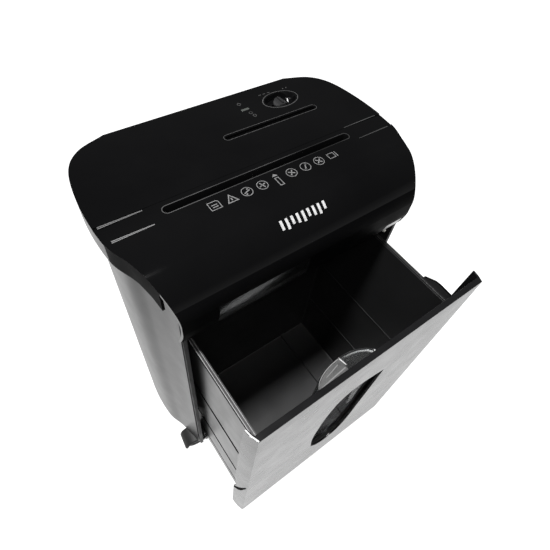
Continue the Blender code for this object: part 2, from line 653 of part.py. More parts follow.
def casters():
    """Each caster: a hooded fork that swivels in the base, and a twin wheel."""
    for word, (x, y, heading) in CASTERS.items():
        angle = math.radians(heading)
        along = Vector((math.cos(angle), math.sin(angle), 0.0))
        across = Vector((-along.y, along.x, 0.0))
        stem = Vector((x, y, 0.0))
        hub = stem + along * TRAIL + Vector((0, 0, CASTER_WHEEL_R))
        swivel = pivot(f"caster_{word}_swivel", (x, y, BASE_Z))
        web = hub + Vector((0, 0, 0.0045))
        fork = rod(f"caster_fork_{word}", web - across * 0.0016, web + across * 0.0016, 0.0140)
        hood = rod("hood", hub - across * 0.0125, hub + across * 0.0125, 0.0205)
        carve(hood, rod("wheel_room", hub - across * 0.0200, hub + across * 0.0200, 0.0172))
        carve(hood, box("open_below", hub - Vector((0.05, 0.05, 0.05)), hub + Vector((0.05, 0.05, 0.0020))))
        fuse(fork, hood)
        fuse(fork, rod("boss", stem + Vector((0, 0, 0.0320)), stem + Vector((0, 0, BASE_Z - 0.0005)), 0.0085))
        fuse(fork, rod("stem", stem + Vector((0, 0, 0.0350)), stem + Vector((0, 0, 0.0467)), 0.0035))
        bore = (0.0018 + BORE_CLEARANCE) / math.cos(math.pi / SIDES)
        carve(fork, rod("axle_hole", hub - across * 0.03, hub + across * 0.03, bore))
        finish(fork, "satin_black", swivel)
        spin = pivot(f"caster_{word}_spin", hub)
        wheel = rod(f"caster_wheel_{word}", hub - across * 0.0115, hub + across * 0.0115, 0.0018)
        for side in (-1, 1):
            fuse(wheel, rod("disc", hub + across * side * 0.0024, hub + across * side * 0.0110,
                            CASTER_WHEEL_R))
        finish(wheel, "tyre", spin)


# ---------------------------------------------------------------- drawer
def leaf(grow=0.0):
    """The finger opening's outline: a leaf between a low left and a high right tip, as (x, z)."""
    low_tip, high_tip = (-0.036, 0.178), (0.034, 0.363)
    upper = [low_tip, (-0.0445, 0.232), (-0.0460, 0.285), (-0.0420, 0.335), (-0.0300, 0.368), (-0.006, 0.375),
             high_tip]
    lower = [high_tip, (0.0335, 0.305), (0.0320, 0.245), (0.0310, 0.190), (0.0225, 0.148), (0.0040, 0.136),
             (-0.0180, 0.148), low_tip]
    outline = smooth(upper, 3)[:-1] + smooth(lower, 3)[:-1]
    return inset(outline, -grow) if grow else outline


def bin_tub():
    """The bin: four walls, a floor with a low ridge, a rim, and the tab that works the switch."""
    x, (y0, y1), (z0, z1) = BIN_X, BIN_Y, BIN_Z
    tub = box("bin", (-x, y0, z0), (x, y1, z1))
    fuse(tub, box("rim", (-0.1396, y0 + 0.0002, z1 - 0.0030), (0.1396, y1 + 0.0020, z1)))
    tab = [(-0.1125, z1 - 0.0020), (-0.1255, z1 + 0.0105), (-0.1500, z1 + 0.0120), (-0.1530, z1 - 0.0020)]
    fuse(tub, plate("switch_tab", "X", 0.1368, 0.1393, tab))
    carve(tub, box("inside", (-x + BIN_WALL, y0 + BIN_WALL, z0 + BIN_WALL),
                   (x - BIN_WALL, y1 - BIN_WALL, z1 + 0.02)))
    fuse(tub, box("ridge", (0.0800, y0 + 0.001, z0 + 0.001), (0.0860, y1 - 0.001, z0 + 0.0060)))
    carve(tub, plate("finger_room", "Y", y0 - 0.01, y0 + 0.01, leaf(0.0035)))
    for side in (-1, 1):
        for z in (0.260, 0.158, 0.080):
            low, high = sorted((side * (x - 0.0008), side * (x + 0.01)))
            carve(tub, box("groove", (low, -0.1315, z), (high, y1 + 0.01, z + 0.0016)))
    return finish(tub, "bin_black", bpy.data.objects["drawer_slide"])


def front_panel():
    """The bin's face: a sheet with a turned-back top and flared sides, and the leaf opening."""
    z0, z1 = FACE_Z
    back = FACE_Y + 0.0070
    section = [(-FACE_X, FACE_Y), (FACE_X, FACE_Y), (0.1525, FACE_Y + 0.0210), (0.1500, FACE_Y + 0.0215),
               (FACE_X - 0.0020, FACE_Y + 0.0028), (-FACE_X + 0.0020, FACE_Y + 0.0028),
               (-0.1500, FACE_Y + 0.0215), (-0.1525, FACE_Y + 0.0210)]
    panel = plate("front_panel", "Z", z0, z1, section)
    fuse(panel, box("top_turn", (-0.1460, FACE_Y + 0.0015, z1 - 0.0030), (0.1460, back - 0.0006, z1)))
    fuse(panel, box("bottom_turn", (-0.1460, FACE_Y + 0.0015, z0), (0.1460, back - 0.0006, z0 + 0.0030)))
    slope = [(-0.20, z1 + 0.01), (FACE_Y + 0.0150, z1 + 0.0001), (FACE_Y + 0.0225, 0.380),
             (FACE_Y + 0.0225, z0 - 0.01), (-0.20, z0 - 0.01)]
    common(panel, plate("side_slope", "X", -0.2, 0.2, slope))
    for side in (-1, 1):
        notch = [(FACE_Y + 0.0070, 0.2240), (FACE_Y + 0.0300, 0.1580), (FACE_Y + 0.0300, 0.1530),
                 (FACE_Y + 0.0070, 0.2190)]
        low, high = sorted((side * 0.1465, side * 0.20))
        carve(panel, plate("notch", "X", low, high, notch))
    carve(panel, plate("leaf", "Y", FACE_Y - 0.01, FACE_Y + 0.012, leaf()))
    return finish(panel, "gloss_black", bpy.data.objects["drawer_slide"])


def pocket():
    """The clear pocket behind the leaf, bulging into the bin: a window and a finger grip."""
    steps = 16
    front = BIN_Y[0] + BIN_WALL + 0.0004
    arcs = []
    for shrink in (0.0, 0.0020):
        arcs.append([(POCKET_CENTRE + (POCKET_X - shrink) * math.cos(math.pi * step / steps),
                      front + (POCKET_DEPTH - shrink) * math.sin(math.pi * step / steps))
                     for step in range(steps + 1)])
    z0, z1 = POCKET_Z
    shell = plate("clear_pocket", "Z", z0, z1, arcs[0])
    inner = [(arcs[1][0][0], front - 0.01)] + arcs[1] + [(arcs[1][-1][0], front - 0.01)]
    carve(shell, plate("hollow", "Z", z0 + 0.0020, z1 - 0.0020, inner))
    return finish(shell, "clear", bpy.data.objects["drawer_slide"])


def interlock():
    """The switch that stops the cutters when the bin is out, with its sprung plunger."""
    y, z = -0.0369, 0.4105
    switch = box("safety_switch", (0.1441, y - 0.0032, z - 0.0050), (0.1485, y + 0.0032, z + 0.0090))
    hole = (0.0018 + BORE_CLEARANCE) / math.cos(math.pi / SIDES)
    carve(switch, rod("bore", (0.1400, y, z), (0.1479, y, z), hole))
    finish(switch, "satin_black")
    slide = pivot("plunger_slide", (0.1441, y, z))
    plunger = rod("safety_plunger", (0.1406, y, z), (0.1460, y, z), 0.0018)
    finish(plunger, "nylon", slide)


# ---------------------------------------------------------------- build
def clear_scene():
    for item in list(bpy.data.objects):
        bpy.data.objects.remove(item)


def build():
    head_cover()
    head_tray()
    dial()
    feed_path()
    cutting_frame()
    scrapers()
    cutters()
    gear_train()
    motor()
    electrics()
    body()
    casters()
    pivot("drawer_slide", (0.0, FACE_Y, 0.25))
    bin_tub()
    front_panel()
    pocket()
    interlock()


clear_scene()
PARTS = bpy.data.collections.new("paper_shredder")
bpy.context.scene.collection.children.link(PARTS)
build()
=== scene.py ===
import json
import math

import bmesh
import bpy
from mathutils import Matrix, Vector


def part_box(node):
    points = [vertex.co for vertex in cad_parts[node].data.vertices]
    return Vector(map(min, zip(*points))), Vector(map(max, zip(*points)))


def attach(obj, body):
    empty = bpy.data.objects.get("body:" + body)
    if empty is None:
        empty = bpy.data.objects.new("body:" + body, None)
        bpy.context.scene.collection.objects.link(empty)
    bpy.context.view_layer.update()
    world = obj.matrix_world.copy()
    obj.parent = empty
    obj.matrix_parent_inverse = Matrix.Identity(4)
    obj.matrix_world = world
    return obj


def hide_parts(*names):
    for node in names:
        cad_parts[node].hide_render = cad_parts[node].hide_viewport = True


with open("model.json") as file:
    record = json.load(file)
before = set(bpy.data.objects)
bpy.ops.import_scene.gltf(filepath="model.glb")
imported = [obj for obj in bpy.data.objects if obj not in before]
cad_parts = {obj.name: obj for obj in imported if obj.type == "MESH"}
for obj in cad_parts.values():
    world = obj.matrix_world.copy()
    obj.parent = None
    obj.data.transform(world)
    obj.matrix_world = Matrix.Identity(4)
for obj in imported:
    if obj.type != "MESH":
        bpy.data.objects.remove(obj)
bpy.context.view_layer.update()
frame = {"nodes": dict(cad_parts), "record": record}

# ---------------- sizes
TOP_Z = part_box("head_cover")[1].z
LIP_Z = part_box("head_cover")[0].z  # lower edge of the head's curved front
BASE_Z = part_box("left_side_wall")[0].z  # lower edge of the side walls
SKIRT_DROP = 0.024  # height of the head's skirt
SKIN, WALL = 0.0025, 0.0026  # thickness of the head's shell and of the side walls

# Right halves of the head and the body seen from above, from back to front, as (x, y).
HEAD_SIDE = [(0.118, 0.1680), (0.150, 0.1555), (0.1685, 0.1300), (0.177, 0.0805),
             (0.176, 0.0305), (0.1663, 0.0005), (0.1580, -0.0295), (0.1508, -0.0515)]
BODY_SIDE = [(0.112, 0.1600), (0.143, 0.1480), (0.1605, 0.1240), (0.1695, 0.0780),
             (0.1690, 0.0300), (0.1600, 0.0020), (0.1535, -0.0250), (0.1506, -0.0445)]
# The head's front seen from the side, from the top down to the lip, as (y, z).
FRONT_CURVE = [(0.0000, TOP_Z), (-0.0180, 0.5118), (-0.0335, 0.5012), (-0.0465, 0.4840),
               (-0.0515, 0.4690), (-0.0512, 0.4500), (-0.0465, 0.4320)]
BACK_X = 0.1118  # half the width of the flat back wall

SLOT_Y, SLOT_LENGTH, SLOT_WIDTH, THROAT_WIDTH = 0.0405, 0.228, 0.009, 0.0056
CHANNEL = (0.0301, 0.0522)  # front and back of the paper channel
DISC_SLOT, DISC_SLOT_Y, DISC_SLOT_WIDTH = (-0.0093, 0.1159), 0.1017, 0.0056
DIAL_CENTRE, LAMP_CENTRE = (0.088, 0.1335), (0.039, 0.136)

FACE_Y, FACE_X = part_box("front_panel")[0].y, 0.147
FACE_Z = (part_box("front_panel")[0].z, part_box("front_panel")[1].z)
FLANGE_BEND, FLANGE_EDGE = (0.0030, 0.0075), (0.0055, 0.0210)  # out and back from the face's corner
BIN_X, BIN_Y, BIN_Z, BIN_WALL = 0.1365, (-0.1595, 0.0445), (0.0525, 0.401), 0.0025
GROOVES = ((0.2500, 0.0105), (0.1440, 0.0100), (0.0750, 0.0060), (0.3800, 0.0165))  # (bottom, height)
POCKET_X, POCKET_DEPTH, POCKET_CENTRE, POCKET_Z = 0.0535, 0.0205, -0.0115, (0.122, 0.4035)
POCKET_NECK = (0.366, 0.376, 0.386, 0.396)  # heights over which the pocket draws in

# Each caster's stem as (x, y) and its heading in degrees.
CASTERS = {"front_left": (-0.137, -0.022, 172), "front_right": (0.137, -0.022, 60),
           "back_left": (-0.120, 0.122, 75), "back_right": (0.120, 0.122, 100)}
TRAIL, CASTER_WHEEL_R = 0.014, 0.0152  # from stem to axle, and the wheel's radius

FAR = 0.3  # past the object on any side, for cutters
PRINT_THICK = 0.00006  # a printed mark
FILM_THICK = 0.00008  # a thin piece laid on a curved face
FILM_GAP = 0.00012  # how far such a piece stands off its face
SHARP_ANGLE = 28  # degrees; shading breaks at sharper edges


# ---------------- shapes
def mesh_object(name, bm):
    """The finished bmesh as an object in the scene."""
    bmesh.ops.recalc_face_normals(bm, faces=bm.faces)
    mesh = bpy.data.meshes.new(name)
    bm.to_mesh(mesh)
    bm.free()
    made = bpy.data.objects.new(name, mesh)
    bpy.context.scene.collection.objects.link(made)
    return made


def box(name, low, high):
    low, high = Vector(low), Vector(high)
    bm = bmesh.new()
    place = Matrix.Translation((low + high) / 2) @ Matrix.Diagonal((*(high - low), 1.0))
    bmesh.ops.create_cube(bm, size=1.0, matrix=place)
    return mesh_object(name, bm)


def rod(name, start, end, radius, end_radius=None, sides=48):
    """A cylinder from start to end, or a cone where the end has its own radius."""
    start, end = Vector(start), Vector(end)
    along = end - start
    turn = along.to_track_quat("Z", "Y").to_matrix().to_4x4()
    bm = bmesh.new()
    bmesh.ops.create_cone(bm, cap_ends=True, segments=sides, radius1=radius,
                          radius2=radius if end_radius is None else end_radius,
                          depth=along.length, matrix=Matrix.Translation((start + end) / 2) @ turn)
    return mesh_object(name, bm)


# Turns a flat (u, v) outline so that it faces an axis: X reads (y, z), Y reads (x, z), Z reads (x, y).
AXIS_TURNS = {
    "X": Matrix(((0, 0, 1), (1, 0, 0), (0, 1, 0))),
    "Y": Matrix(((1, 0, 0), (0, 0, -1), (0, 1, 0))),
    "Z": Matrix.Identity(3),
}


def plate(name, axis, low, high, *outlines):
    """Flat outlines drawn out from low to high along an axis; an outline inside another is a hole."""
    curve = bpy.data.curves.new(name, "CURVE")
    curve.dimensions = "2D"
    curve.fill_mode = "BOTH"
    curve.extrude = (high - low) / 2
    for outline in outlines:
        spline = curve.splines.new("POLY")
        spline.points.add(len(outline) - 1)
        for point, (u, v) in zip(spline.points, outline):
            point.co = (u, v, 0.0, 1.0)
        spline.use_cyclic_u = True
    drawn = bpy.data.objects.new(name + "_outline", curve)
    bpy.context.scene.collection.objects.link(drawn)
    bpy.context.view_layer.update()
    mesh = bpy.data.meshes.new_from_object(drawn.evaluated_get(bpy.context.evaluated_depsgraph_get()))
    bpy.data.objects.remove(drawn)
    middle = Vector([(low + high) / 2 if letter == axis else 0.0 for letter in "XYZ"])
    bm = bmesh.new()
    bm.from_mesh(mesh)
    bpy.data.meshes.remove(mesh)
    bmesh.ops.remove_doubles(bm, verts=bm.verts, dist=1e-6)
    bmesh.ops.transform(bm, matrix=Matrix.Translation(middle) @ AXIS_TURNS[axis].to_4x4(), verts=bm.verts)
    return mesh_object(name, bm)


def settle(target):
    """Turn the target's modifiers into its mesh."""
    bpy.context.view_layer.update()
    graph = bpy.context.evaluated_depsgraph_get()
    mesh = bpy.data.meshes.new_from_object(target.evaluated_get(graph))
    target.modifiers.clear()
    target.data = mesh


def solve(target, tool, operation):
    """Cut or join the target with a tool, which is used up."""
    step = target.modifiers.new(operation.title(), "BOOLEAN")
    step.operation = operation
    step.solver = "EXACT"
    step.object = tool
    settle(target)
    bpy.data.objects.remove(tool)


def carve(target, *tools):
    for tool in tools:
        solve(target, tool, "DIFFERENCE")


def fuse(target, *tools):
    for tool in tools:
        solve(target, tool, "UNION")


def common(target, *tools):
    for tool in tools:
        solve(target, tool, "INTERSECT")


def clean(target):
    """Merge the flat slivers that cutting leaves, so that edges round evenly."""
    bm = bmesh.new()
    bm.from_mesh(target.data)
    bmesh.ops.remove_doubles(bm, verts=bm.verts, dist=2e-6)
    bmesh.ops.dissolve_degenerate(bm, edges=bm.edges, dist=1e-6)
    bmesh.ops.dissolve_limit(bm, angle_limit=math.radians(0.05), verts=bm.verts, edges=bm.edges)
    bm.to_mesh(target.data)
    bm.free()


def soften(target, width, segments, angle):
    """A bevel on the edges that are sharper than an angle in degrees."""
    bevel = target.modifiers.new("Bevel", "BEVEL")
    bevel.width, bevel.segments = width, segments
    bevel.limit_method = "ANGLE"
    bevel.angle_limit = math.radians(angle)
    return bevel


def round_edges(target, width, segments=3, angle=35):
    """Clean a mesh and bevel its sharp edges for good."""
    clean(target)
    soften(target, width, segments, angle).miter_outer = "MITER_ARC"
    settle(target)


def thicken(target):
    """Give an open sheet the thickness of a film."""
    target.modifiers.new("Solidify", "SOLIDIFY").thickness = FILM_THICK
    settle(target)


def bridge(bm, rows):
    """Faces between neighbouring rows of two vertices."""
    for row, after in zip(rows, rows[1:]):
        bm.faces.new((row[0], row[1], after[1], after[0]))


def shade(target):
    """Smooth shading that keeps the sharp edges and the flat faces."""
    target.data.shade_smooth()
    target.data.set_sharp_from_angle(angle=math.radians(SHARP_ANGLE))
    flat = target.modifiers.new("Flat faces", "WEIGHTED_NORMAL")
    flat.keep_sharp = True
    flat.weight = 100


def smooth(points, steps=12):
    """Points along a Catmull-Rom curve through the given ones."""
    ends = [tuple(2 * a - b for a, b in zip(points[0], points[1]))]
    ends += [tuple(p) for p in points]
    ends += [tuple(2 * a - b for a, b in zip(points[-1], points[-2]))]
    path = []
    for before, here, there, after in zip(ends, ends[1:], ends[2:], ends[3:]):
        for step in range(steps):
            t = step / steps
            path.append(tuple(0.5 * (2 * b + (c - a) * t + (2 * a - 5 * b + 4 * c - d) * t * t
                                     + (3 * b - a - 3 * c + d) * t ** 3)
                              for a, b, c, d in zip(before, here, there, after)))
    path.append(tuple(points[-1]))
    return path


def inset(outline, distance):
    """The closed outline moved inwards by a distance."""
    area = sum(a[0] * b[1] - b[0] * a[1] for a, b in zip(outline, outline[1:] + outline[:1]))
    side = 1.0 if area > 0 else -1.0
    moved = []
    for before, here, after in zip(outline[-1:] + outline[:-1], outline, outline[1:] + outline[:1]):
        first = (Vector(here) - Vector(before)).normalized()
        second = (Vector(after) - Vector(here)).normalized()
        normal = Vector((-(first.y + second.y), first.x + second.x)) * side
        normal.normalize()
        lean = max(0.4, normal.dot(Vector((-first.y, first.x)) * side))
        moved.append(tuple(Vector(here) + normal * distance / lean))
    return moved


def plan(side):
    """The whole outline seen from above, from the points of its right half."""
    half = smooth(side)
    return half + [(-x, y) for x, y in reversed(half)]


def front_profile(depth, back, floor):
    """The head's side view moved inwards by depth, closed at the back and below."""
    curve = smooth(FRONT_CURVE, 10)
    corners = [(back + 0.02, TOP_Z)] + curve + [(curve[-1][0] + 0.004, floor), (back + 0.02, floor)]
    if depth == 0:
        return corners
    inner = inset(corners, depth)
    return [(back, inner[0][1])] + inner[1:-2] + [(inner[-2][0], floor), (back, floor)]


def rounded_slot(length_from, length_to, centre, width, steps=12):
    """A slot along the first axis, with half-round ends."""
    radius = width / 2
    points = []
    for end, turn in ((length_to - radius, -90), (length_from + radius, 90)):
        for step in range(steps + 1):
            angle = math.radians(turn + 180 * step / steps)
            points.append((end + radius * math.cos(angle), centre + radius * math.sin(angle)))
    return points


def ellipse(centre, half_x, half_y, steps=64):
    return [(centre[0] + half_x * math.cos(math.tau * step / steps),
             centre[1] + half_y * math.sin(math.tau * step / steps)) for step in range(steps)]


def both(side, low, high):
    """A range of x mirrored to the side asked for, in rising order."""
    return sorted((side * low, side * high))


# ---------------- materials
def shader_of(name):
    """A new node material, its tree and its shader."""
    made = bpy.data.materials.new(name)
    made.use_nodes = True
    tree = made.node_tree
    return made, tree, tree.nodes["Principled BSDF"]


def node(tree, kind, **values):
    """A new node with the values of its inputs."""
    made = tree.nodes.new(kind)
    for key, value in values.items():
        made.inputs[key.replace("_", " ")].default_value = value
    return made


def noise(tree, scale, detail=3.0, stretch=(1, 1, 1)):
    """Noise in the object's own coordinates, stretched along an axis where asked."""
    place = tree.nodes.new("ShaderNodeTexCoord")
    mapping = tree.nodes.new("ShaderNodeMapping")
    mapping.inputs["Scale"].default_value = stretch
    tree.links.new(place.outputs["Object"], mapping.inputs["Vector"])
    made = node(tree, "ShaderNodeTexNoise", Scale=scale, Detail=detail)
    tree.links.new(mapping.outputs["Vector"], made.inputs["Vector"])
    return made


def spread(tree, source, low, high, start=0.3, end=0.7):
    """A value remapped from start..end to low..high."""
    made = tree.nodes.new("ShaderNodeMapRange")
    for key, value in (("From Min", start), ("From Max", end), ("To Min", low), ("To Max", high)):
        made.inputs[key].default_value = value
    tree.links.new(source, made.inputs["Value"])
    return made.outputs["Result"]


def bump(tree, shader, source, strength, distance, after=None):
    """Fine relief from a height, on top of an earlier one where given."""
    made = node(tree, "ShaderNodeBump", Strength=strength, Distance=distance)
    tree.links.new(source, made.inputs["Height"])
    if after is not None:
        tree.links.new(after.outputs["Normal"], made.inputs["Normal"])
    tree.links.new(made.outputs["Normal"], shader.inputs["Normal"])
    return made


def two_tone(tree, shader, source, dark, light):
    """Colour that drifts between two tones."""
    ramp = tree.nodes.new("ShaderNodeValToRGB")
    ramp.color_ramp.elements[0].position, ramp.color_ramp.elements[1].position = 0.35, 0.68
    ramp.color_ramp.elements[0].color, ramp.color_ramp.elements[1].color = (*dark, 1), (*light, 1)
    tree.links.new(source, ramp.inputs["Fac"])
    tree.links.new(ramp.outputs["Color"], shader.inputs["Base Color"])
    return ramp


def plastic(name, dark, light, *, rough, grain=900.0, grain_depth=0.00001, ripple_depth=0.0, edge=0.0,
            ior=1.5):
    """Moulded plastic: drifting tone, uneven gloss, fine grain, slow ripple and rubbed edges."""
    made, tree, shader = shader_of(name)
    cloud = noise(tree, 9.0, 4.0)
    ramp = two_tone(tree, shader, cloud.outputs["Fac"], dark, light)
    if edge > 0:
        rim = tree.nodes.new("ShaderNodeNewGeometry")
        worn = spread(tree, rim.outputs["Pointiness"], 0.0, edge, 0.52, 0.62)
        mix = tree.nodes.new("ShaderNodeMix")
        mix.data_type = "RGBA"
        mix.inputs["B"].default_value = (0.05, 0.05, 0.05, 1)
        tree.links.new(worn, mix.inputs["Factor"])
        tree.links.new(ramp.outputs["Color"], mix.inputs["A"])
        tree.links.new(mix.outputs["Result"], shader.inputs["Base Color"])
    patches = noise(tree, 38.0, 5.0)
    tree.links.new(spread(tree, patches.outputs["Fac"], *rough), shader.inputs["Roughness"])
    slow = None
    if ripple_depth:
        slow = bump(tree, shader, noise(tree, 14.0, 2.0).outputs["Fac"], 1.0, ripple_depth)
    bump(tree, shader, noise(tree, grain, 2.0).outputs["Fac"], 1.0, grain_depth, slow)
    shader.inputs["IOR"].default_value = ior
    return made


def metal(name, dark, light, rough, stretch):
    """Turned or brushed metal: fine lines across the stretch, and dull patches."""
    made, tree, shader = shader_of(name)
    lines = noise(tree, 900.0, 2.0, stretch)
    two_tone(tree, shader, noise(tree, 30.0, 4.0).outputs["Fac"], dark, light)
    tree.links.new(spread(tree, lines.outputs["Fac"], *rough), shader.inputs["Roughness"])
    bump(tree, shader, lines.outputs["Fac"], 0.6, 0.00002)
    shader.inputs["Metallic"].default_value = 1.0
    return made


def clear_plastic():
    """Clear moulded plastic with faint smears and flow lines."""
    made, tree, shader = shader_of("clear_plastic")
    two_tone(tree, shader, noise(tree, 22.0, 3.0).outputs["Fac"], (0.62, 0.63, 0.64), (0.80, 0.81, 0.81))
    smears = noise(tree, 60.0, 4.0)
    tree.links.new(spread(tree, smears.outputs["Fac"], 0.04, 0.08), shader.inputs["Roughness"])
    bump(tree, shader, noise(tree, 45.0, 2.0, (1, 1, 0.25)).outputs["Fac"], 1.0, 0.00006)
    shader.inputs["Transmission Weight"].default_value = 0.99
    shader.inputs["IOR"].default_value = 1.28
    return made


def board_lacquer():
    """Green board with copper runs below the lacquer."""
    made, tree, shader = shader_of("board_lacquer")
    runs = node(tree, "ShaderNodeTexBrick", Scale=120.0)
    runs.inputs["Color1"].default_value = (0.02, 0.13, 0.05, 1)
    runs.inputs["Color2"].default_value = (0.025, 0.17, 0.07, 1)
    runs.inputs["Mortar"].default_value = (0.08, 0.30, 0.12, 1)
    place = tree.nodes.new("ShaderNodeTexCoord")
    tree.links.new(place.outputs["Object"], runs.inputs["Vector"])
    tree.links.new(runs.outputs["Color"], shader.inputs["Base Color"])
    tree.links.new(spread(tree, noise(tree, 90.0).outputs["Fac"], 0.25, 0.5), shader.inputs["Roughness"])
    bump(tree, shader, runs.outputs["Fac"], 0.5, 0.0001)
    return made


def white_print(name, thin, full):
    """Screen-printed ink, slightly thin in places."""
    made, tree, shader = shader_of(name)
    two_tone(tree, shader, noise(tree, 700.0, 3.0).outputs["Fac"], (thin, thin, thin), (full, full, full))
    tree.links.new(spread(tree, noise(tree, 200.0).outputs["Fac"], 0.35, 0.6), shader.inputs["Roughness"])
    bump(tree, shader, noise(tree, 1500.0).outputs["Fac"], 0.4, 0.00002)
    return made


def painted_highlight(name, dark, light):
    """Painted highlight: the grey of a line where an edge catches the light, drifting between two tones."""
    return plastic(name, (dark,) * 3, (light,) * 3, rough=(0.25, 0.40))


# Painted highlights: lighter greys laid along edges where they catch the light, the last one the brightest.
PAINTED_EDGE_HIGHLIGHT = painted_highlight("painted_edge_highlight", 0.05, 0.11)
PAINTED_FAINT_HIGHLIGHT = painted_highlight("painted_faint_highlight", 0.006, 0.045)
HIGHLIGHT = painted_highlight("highlight", 0.16, 0.24)
GLOSS = plastic("gloss_black", (0.0010, 0.0010, 0.0011), (0.0015, 0.0015, 0.0016),
                rough=(0.03, 0.07), grain=700.0, grain_depth=0.0000022, ripple_depth=0.00002)
BARREL = plastic("barrel_gloss", (0.0012, 0.0012, 0.0013), (0.0020, 0.0020, 0.0021),
                 rough=(0.29, 0.33), grain=700.0, grain_depth=0.000003, ripple_depth=0.000008, ior=1.28)
LIP = plastic("lip_gloss", (0.0010, 0.0010, 0.0011), (0.0015, 0.0015, 0.0016),
              rough=(0.16, 0.24), grain=700.0, grain_depth=0.0000022)
SKIRT = plastic("skirt_satin", (0.0008, 0.0008, 0.0009), (0.0016, 0.0016, 0.0017),
                rough=(0.40, 0.55), ior=1.06)
BAND = plastic("band_satin", (0.0030, 0.0030, 0.0032), (0.0048, 0.0048, 0.0050),
               rough=(0.10, 0.15), grain_depth=0.000004, ior=1.42)
# Painted shade: matte black for the bin's grooves, the gap under its rim and the flange crease, where shade
# falls, and for the rim's top between its painted highlights.
PAINTED_SHADE = plastic("painted_shade_black", (0.0004, 0.0004, 0.0004), (0.0008, 0.0008, 0.0008),
                 rough=(0.80, 0.95), ior=1.1)
PANEL = plastic("panel_gloss", (0.0025, 0.0025, 0.0027), (0.0040, 0.0040, 0.0042),
                rough=(0.24, 0.29), grain=420.0, grain_depth=0.000006, ripple_depth=0.000012)
SATIN = plastic("satin_black", (0.004, 0.004, 0.0043), (0.008, 0.008, 0.0084),
                rough=(0.28, 0.45), grain=1100.0, grain_depth=0.00002, ior=1.4)
# The bin's plastic in two copies: the darker one inside the tub is painted shade, the lighter one on its
# outer faces is painted light.
BIN = plastic("bin_black", (0.0055, 0.0055, 0.0057), (0.0070, 0.0070, 0.0072),
              rough=(0.34, 0.40), grain_depth=0.000004, ior=1.3)
BIN_LIT_OUTSIDE = plastic("bin_lit_outside", (0.0095, 0.0095, 0.0097), (0.0120, 0.0120, 0.0122),
                   rough=(0.30, 0.36), grain_depth=0.000004)
EDGE = plastic("textured_edge", (0.006, 0.006, 0.0063), (0.012, 0.012, 0.0124),
               rough=(0.45, 0.65), grain=650.0, grain_depth=0.00012, ior=1.35)
TYRE = plastic("tyre_black", (0.010, 0.010, 0.010), (0.022, 0.022, 0.021),
               rough=(0.45, 0.7), grain=800.0, grain_depth=0.00003, edge=0.4)
NYLON = plastic("nylon", (0.62, 0.61, 0.56), (0.78, 0.77, 0.72),
                rough=(0.38, 0.55), grain=1200.0)
LAMP = plastic("lamp_lens", (0.020, 0.022, 0.020), (0.030, 0.032, 0.030),
               rough=(0.12, 0.22))
FORK = plastic("fork_black", (0.005, 0.005, 0.005), (0.010, 0.010, 0.010),
               rough=(0.45, 0.62), grain_depth=0.00002, ior=1.3)
STEEL = metal("turned_steel", (0.42, 0.42, 0.41), (0.60, 0.60, 0.59), (0.22, 0.42), (1.0, 0.06, 0.06))
ZINC = metal("zinc_plate", (0.50, 0.51, 0.50), (0.68, 0.68, 0.66), (0.30, 0.52), (0.2, 1.0, 1.0))
BRONZE = metal("bronze", (0.34, 0.20, 0.09), (0.50, 0.32, 0.16), (0.30, 0.48), (1.0, 0.1, 0.1))
CLEAR = clear_plastic()
BOARD = board_lacquer()
PRINT = white_print("white_print", 0.16, 0.26)
FINE_PRINT = white_print("fine_print", 0.045, 0.085)
# Dim grey: real print for the lamp and dial marks, and also painted highlights on the disc slot and the right
# rim, and a painted reflection on the pocket's cap.
DIM_PRINT_AND_SHEEN = white_print("dim_print_and_sheen", 0.010, 0.024)
SLOT_MATERIALS = {"gloss_black": GLOSS, "satin_black": SATIN, "bin_black": BIN, "tyre": TYRE,
                  "clear": CLEAR, "lamp": LAMP, "nylon": NYLON, "board": BOARD,
                  "steel": STEEL, "zinc": ZINC, "bronze": BRONZE}


def place_piece(piece, body, slot, *stands_for, material=None):
    """Shade a finished piece, give it its material, and let it ride on its body."""
    shade(piece)
    piece.data.name = piece.name
    piece.data.materials.clear()
    piece.data.materials.append(material or SLOT_MATERIALS[slot])
    for polygon in piece.data.polygons:
        polygon.material_index = 0
    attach(piece, body)
    if stands_for:
        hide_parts(*stands_for)


def paint(piece, material, chosen):
    """Give another material to the faces picked by their centre and normal, some of them painted shade or a
    lighter copy standing for light.
    """
    piece.data.materials.append(material)
    for polygon in piece.data.polygons:
        if chosen(polygon.center, polygon.normal):
            polygon.material_index = len(piece.data.materials) - 1


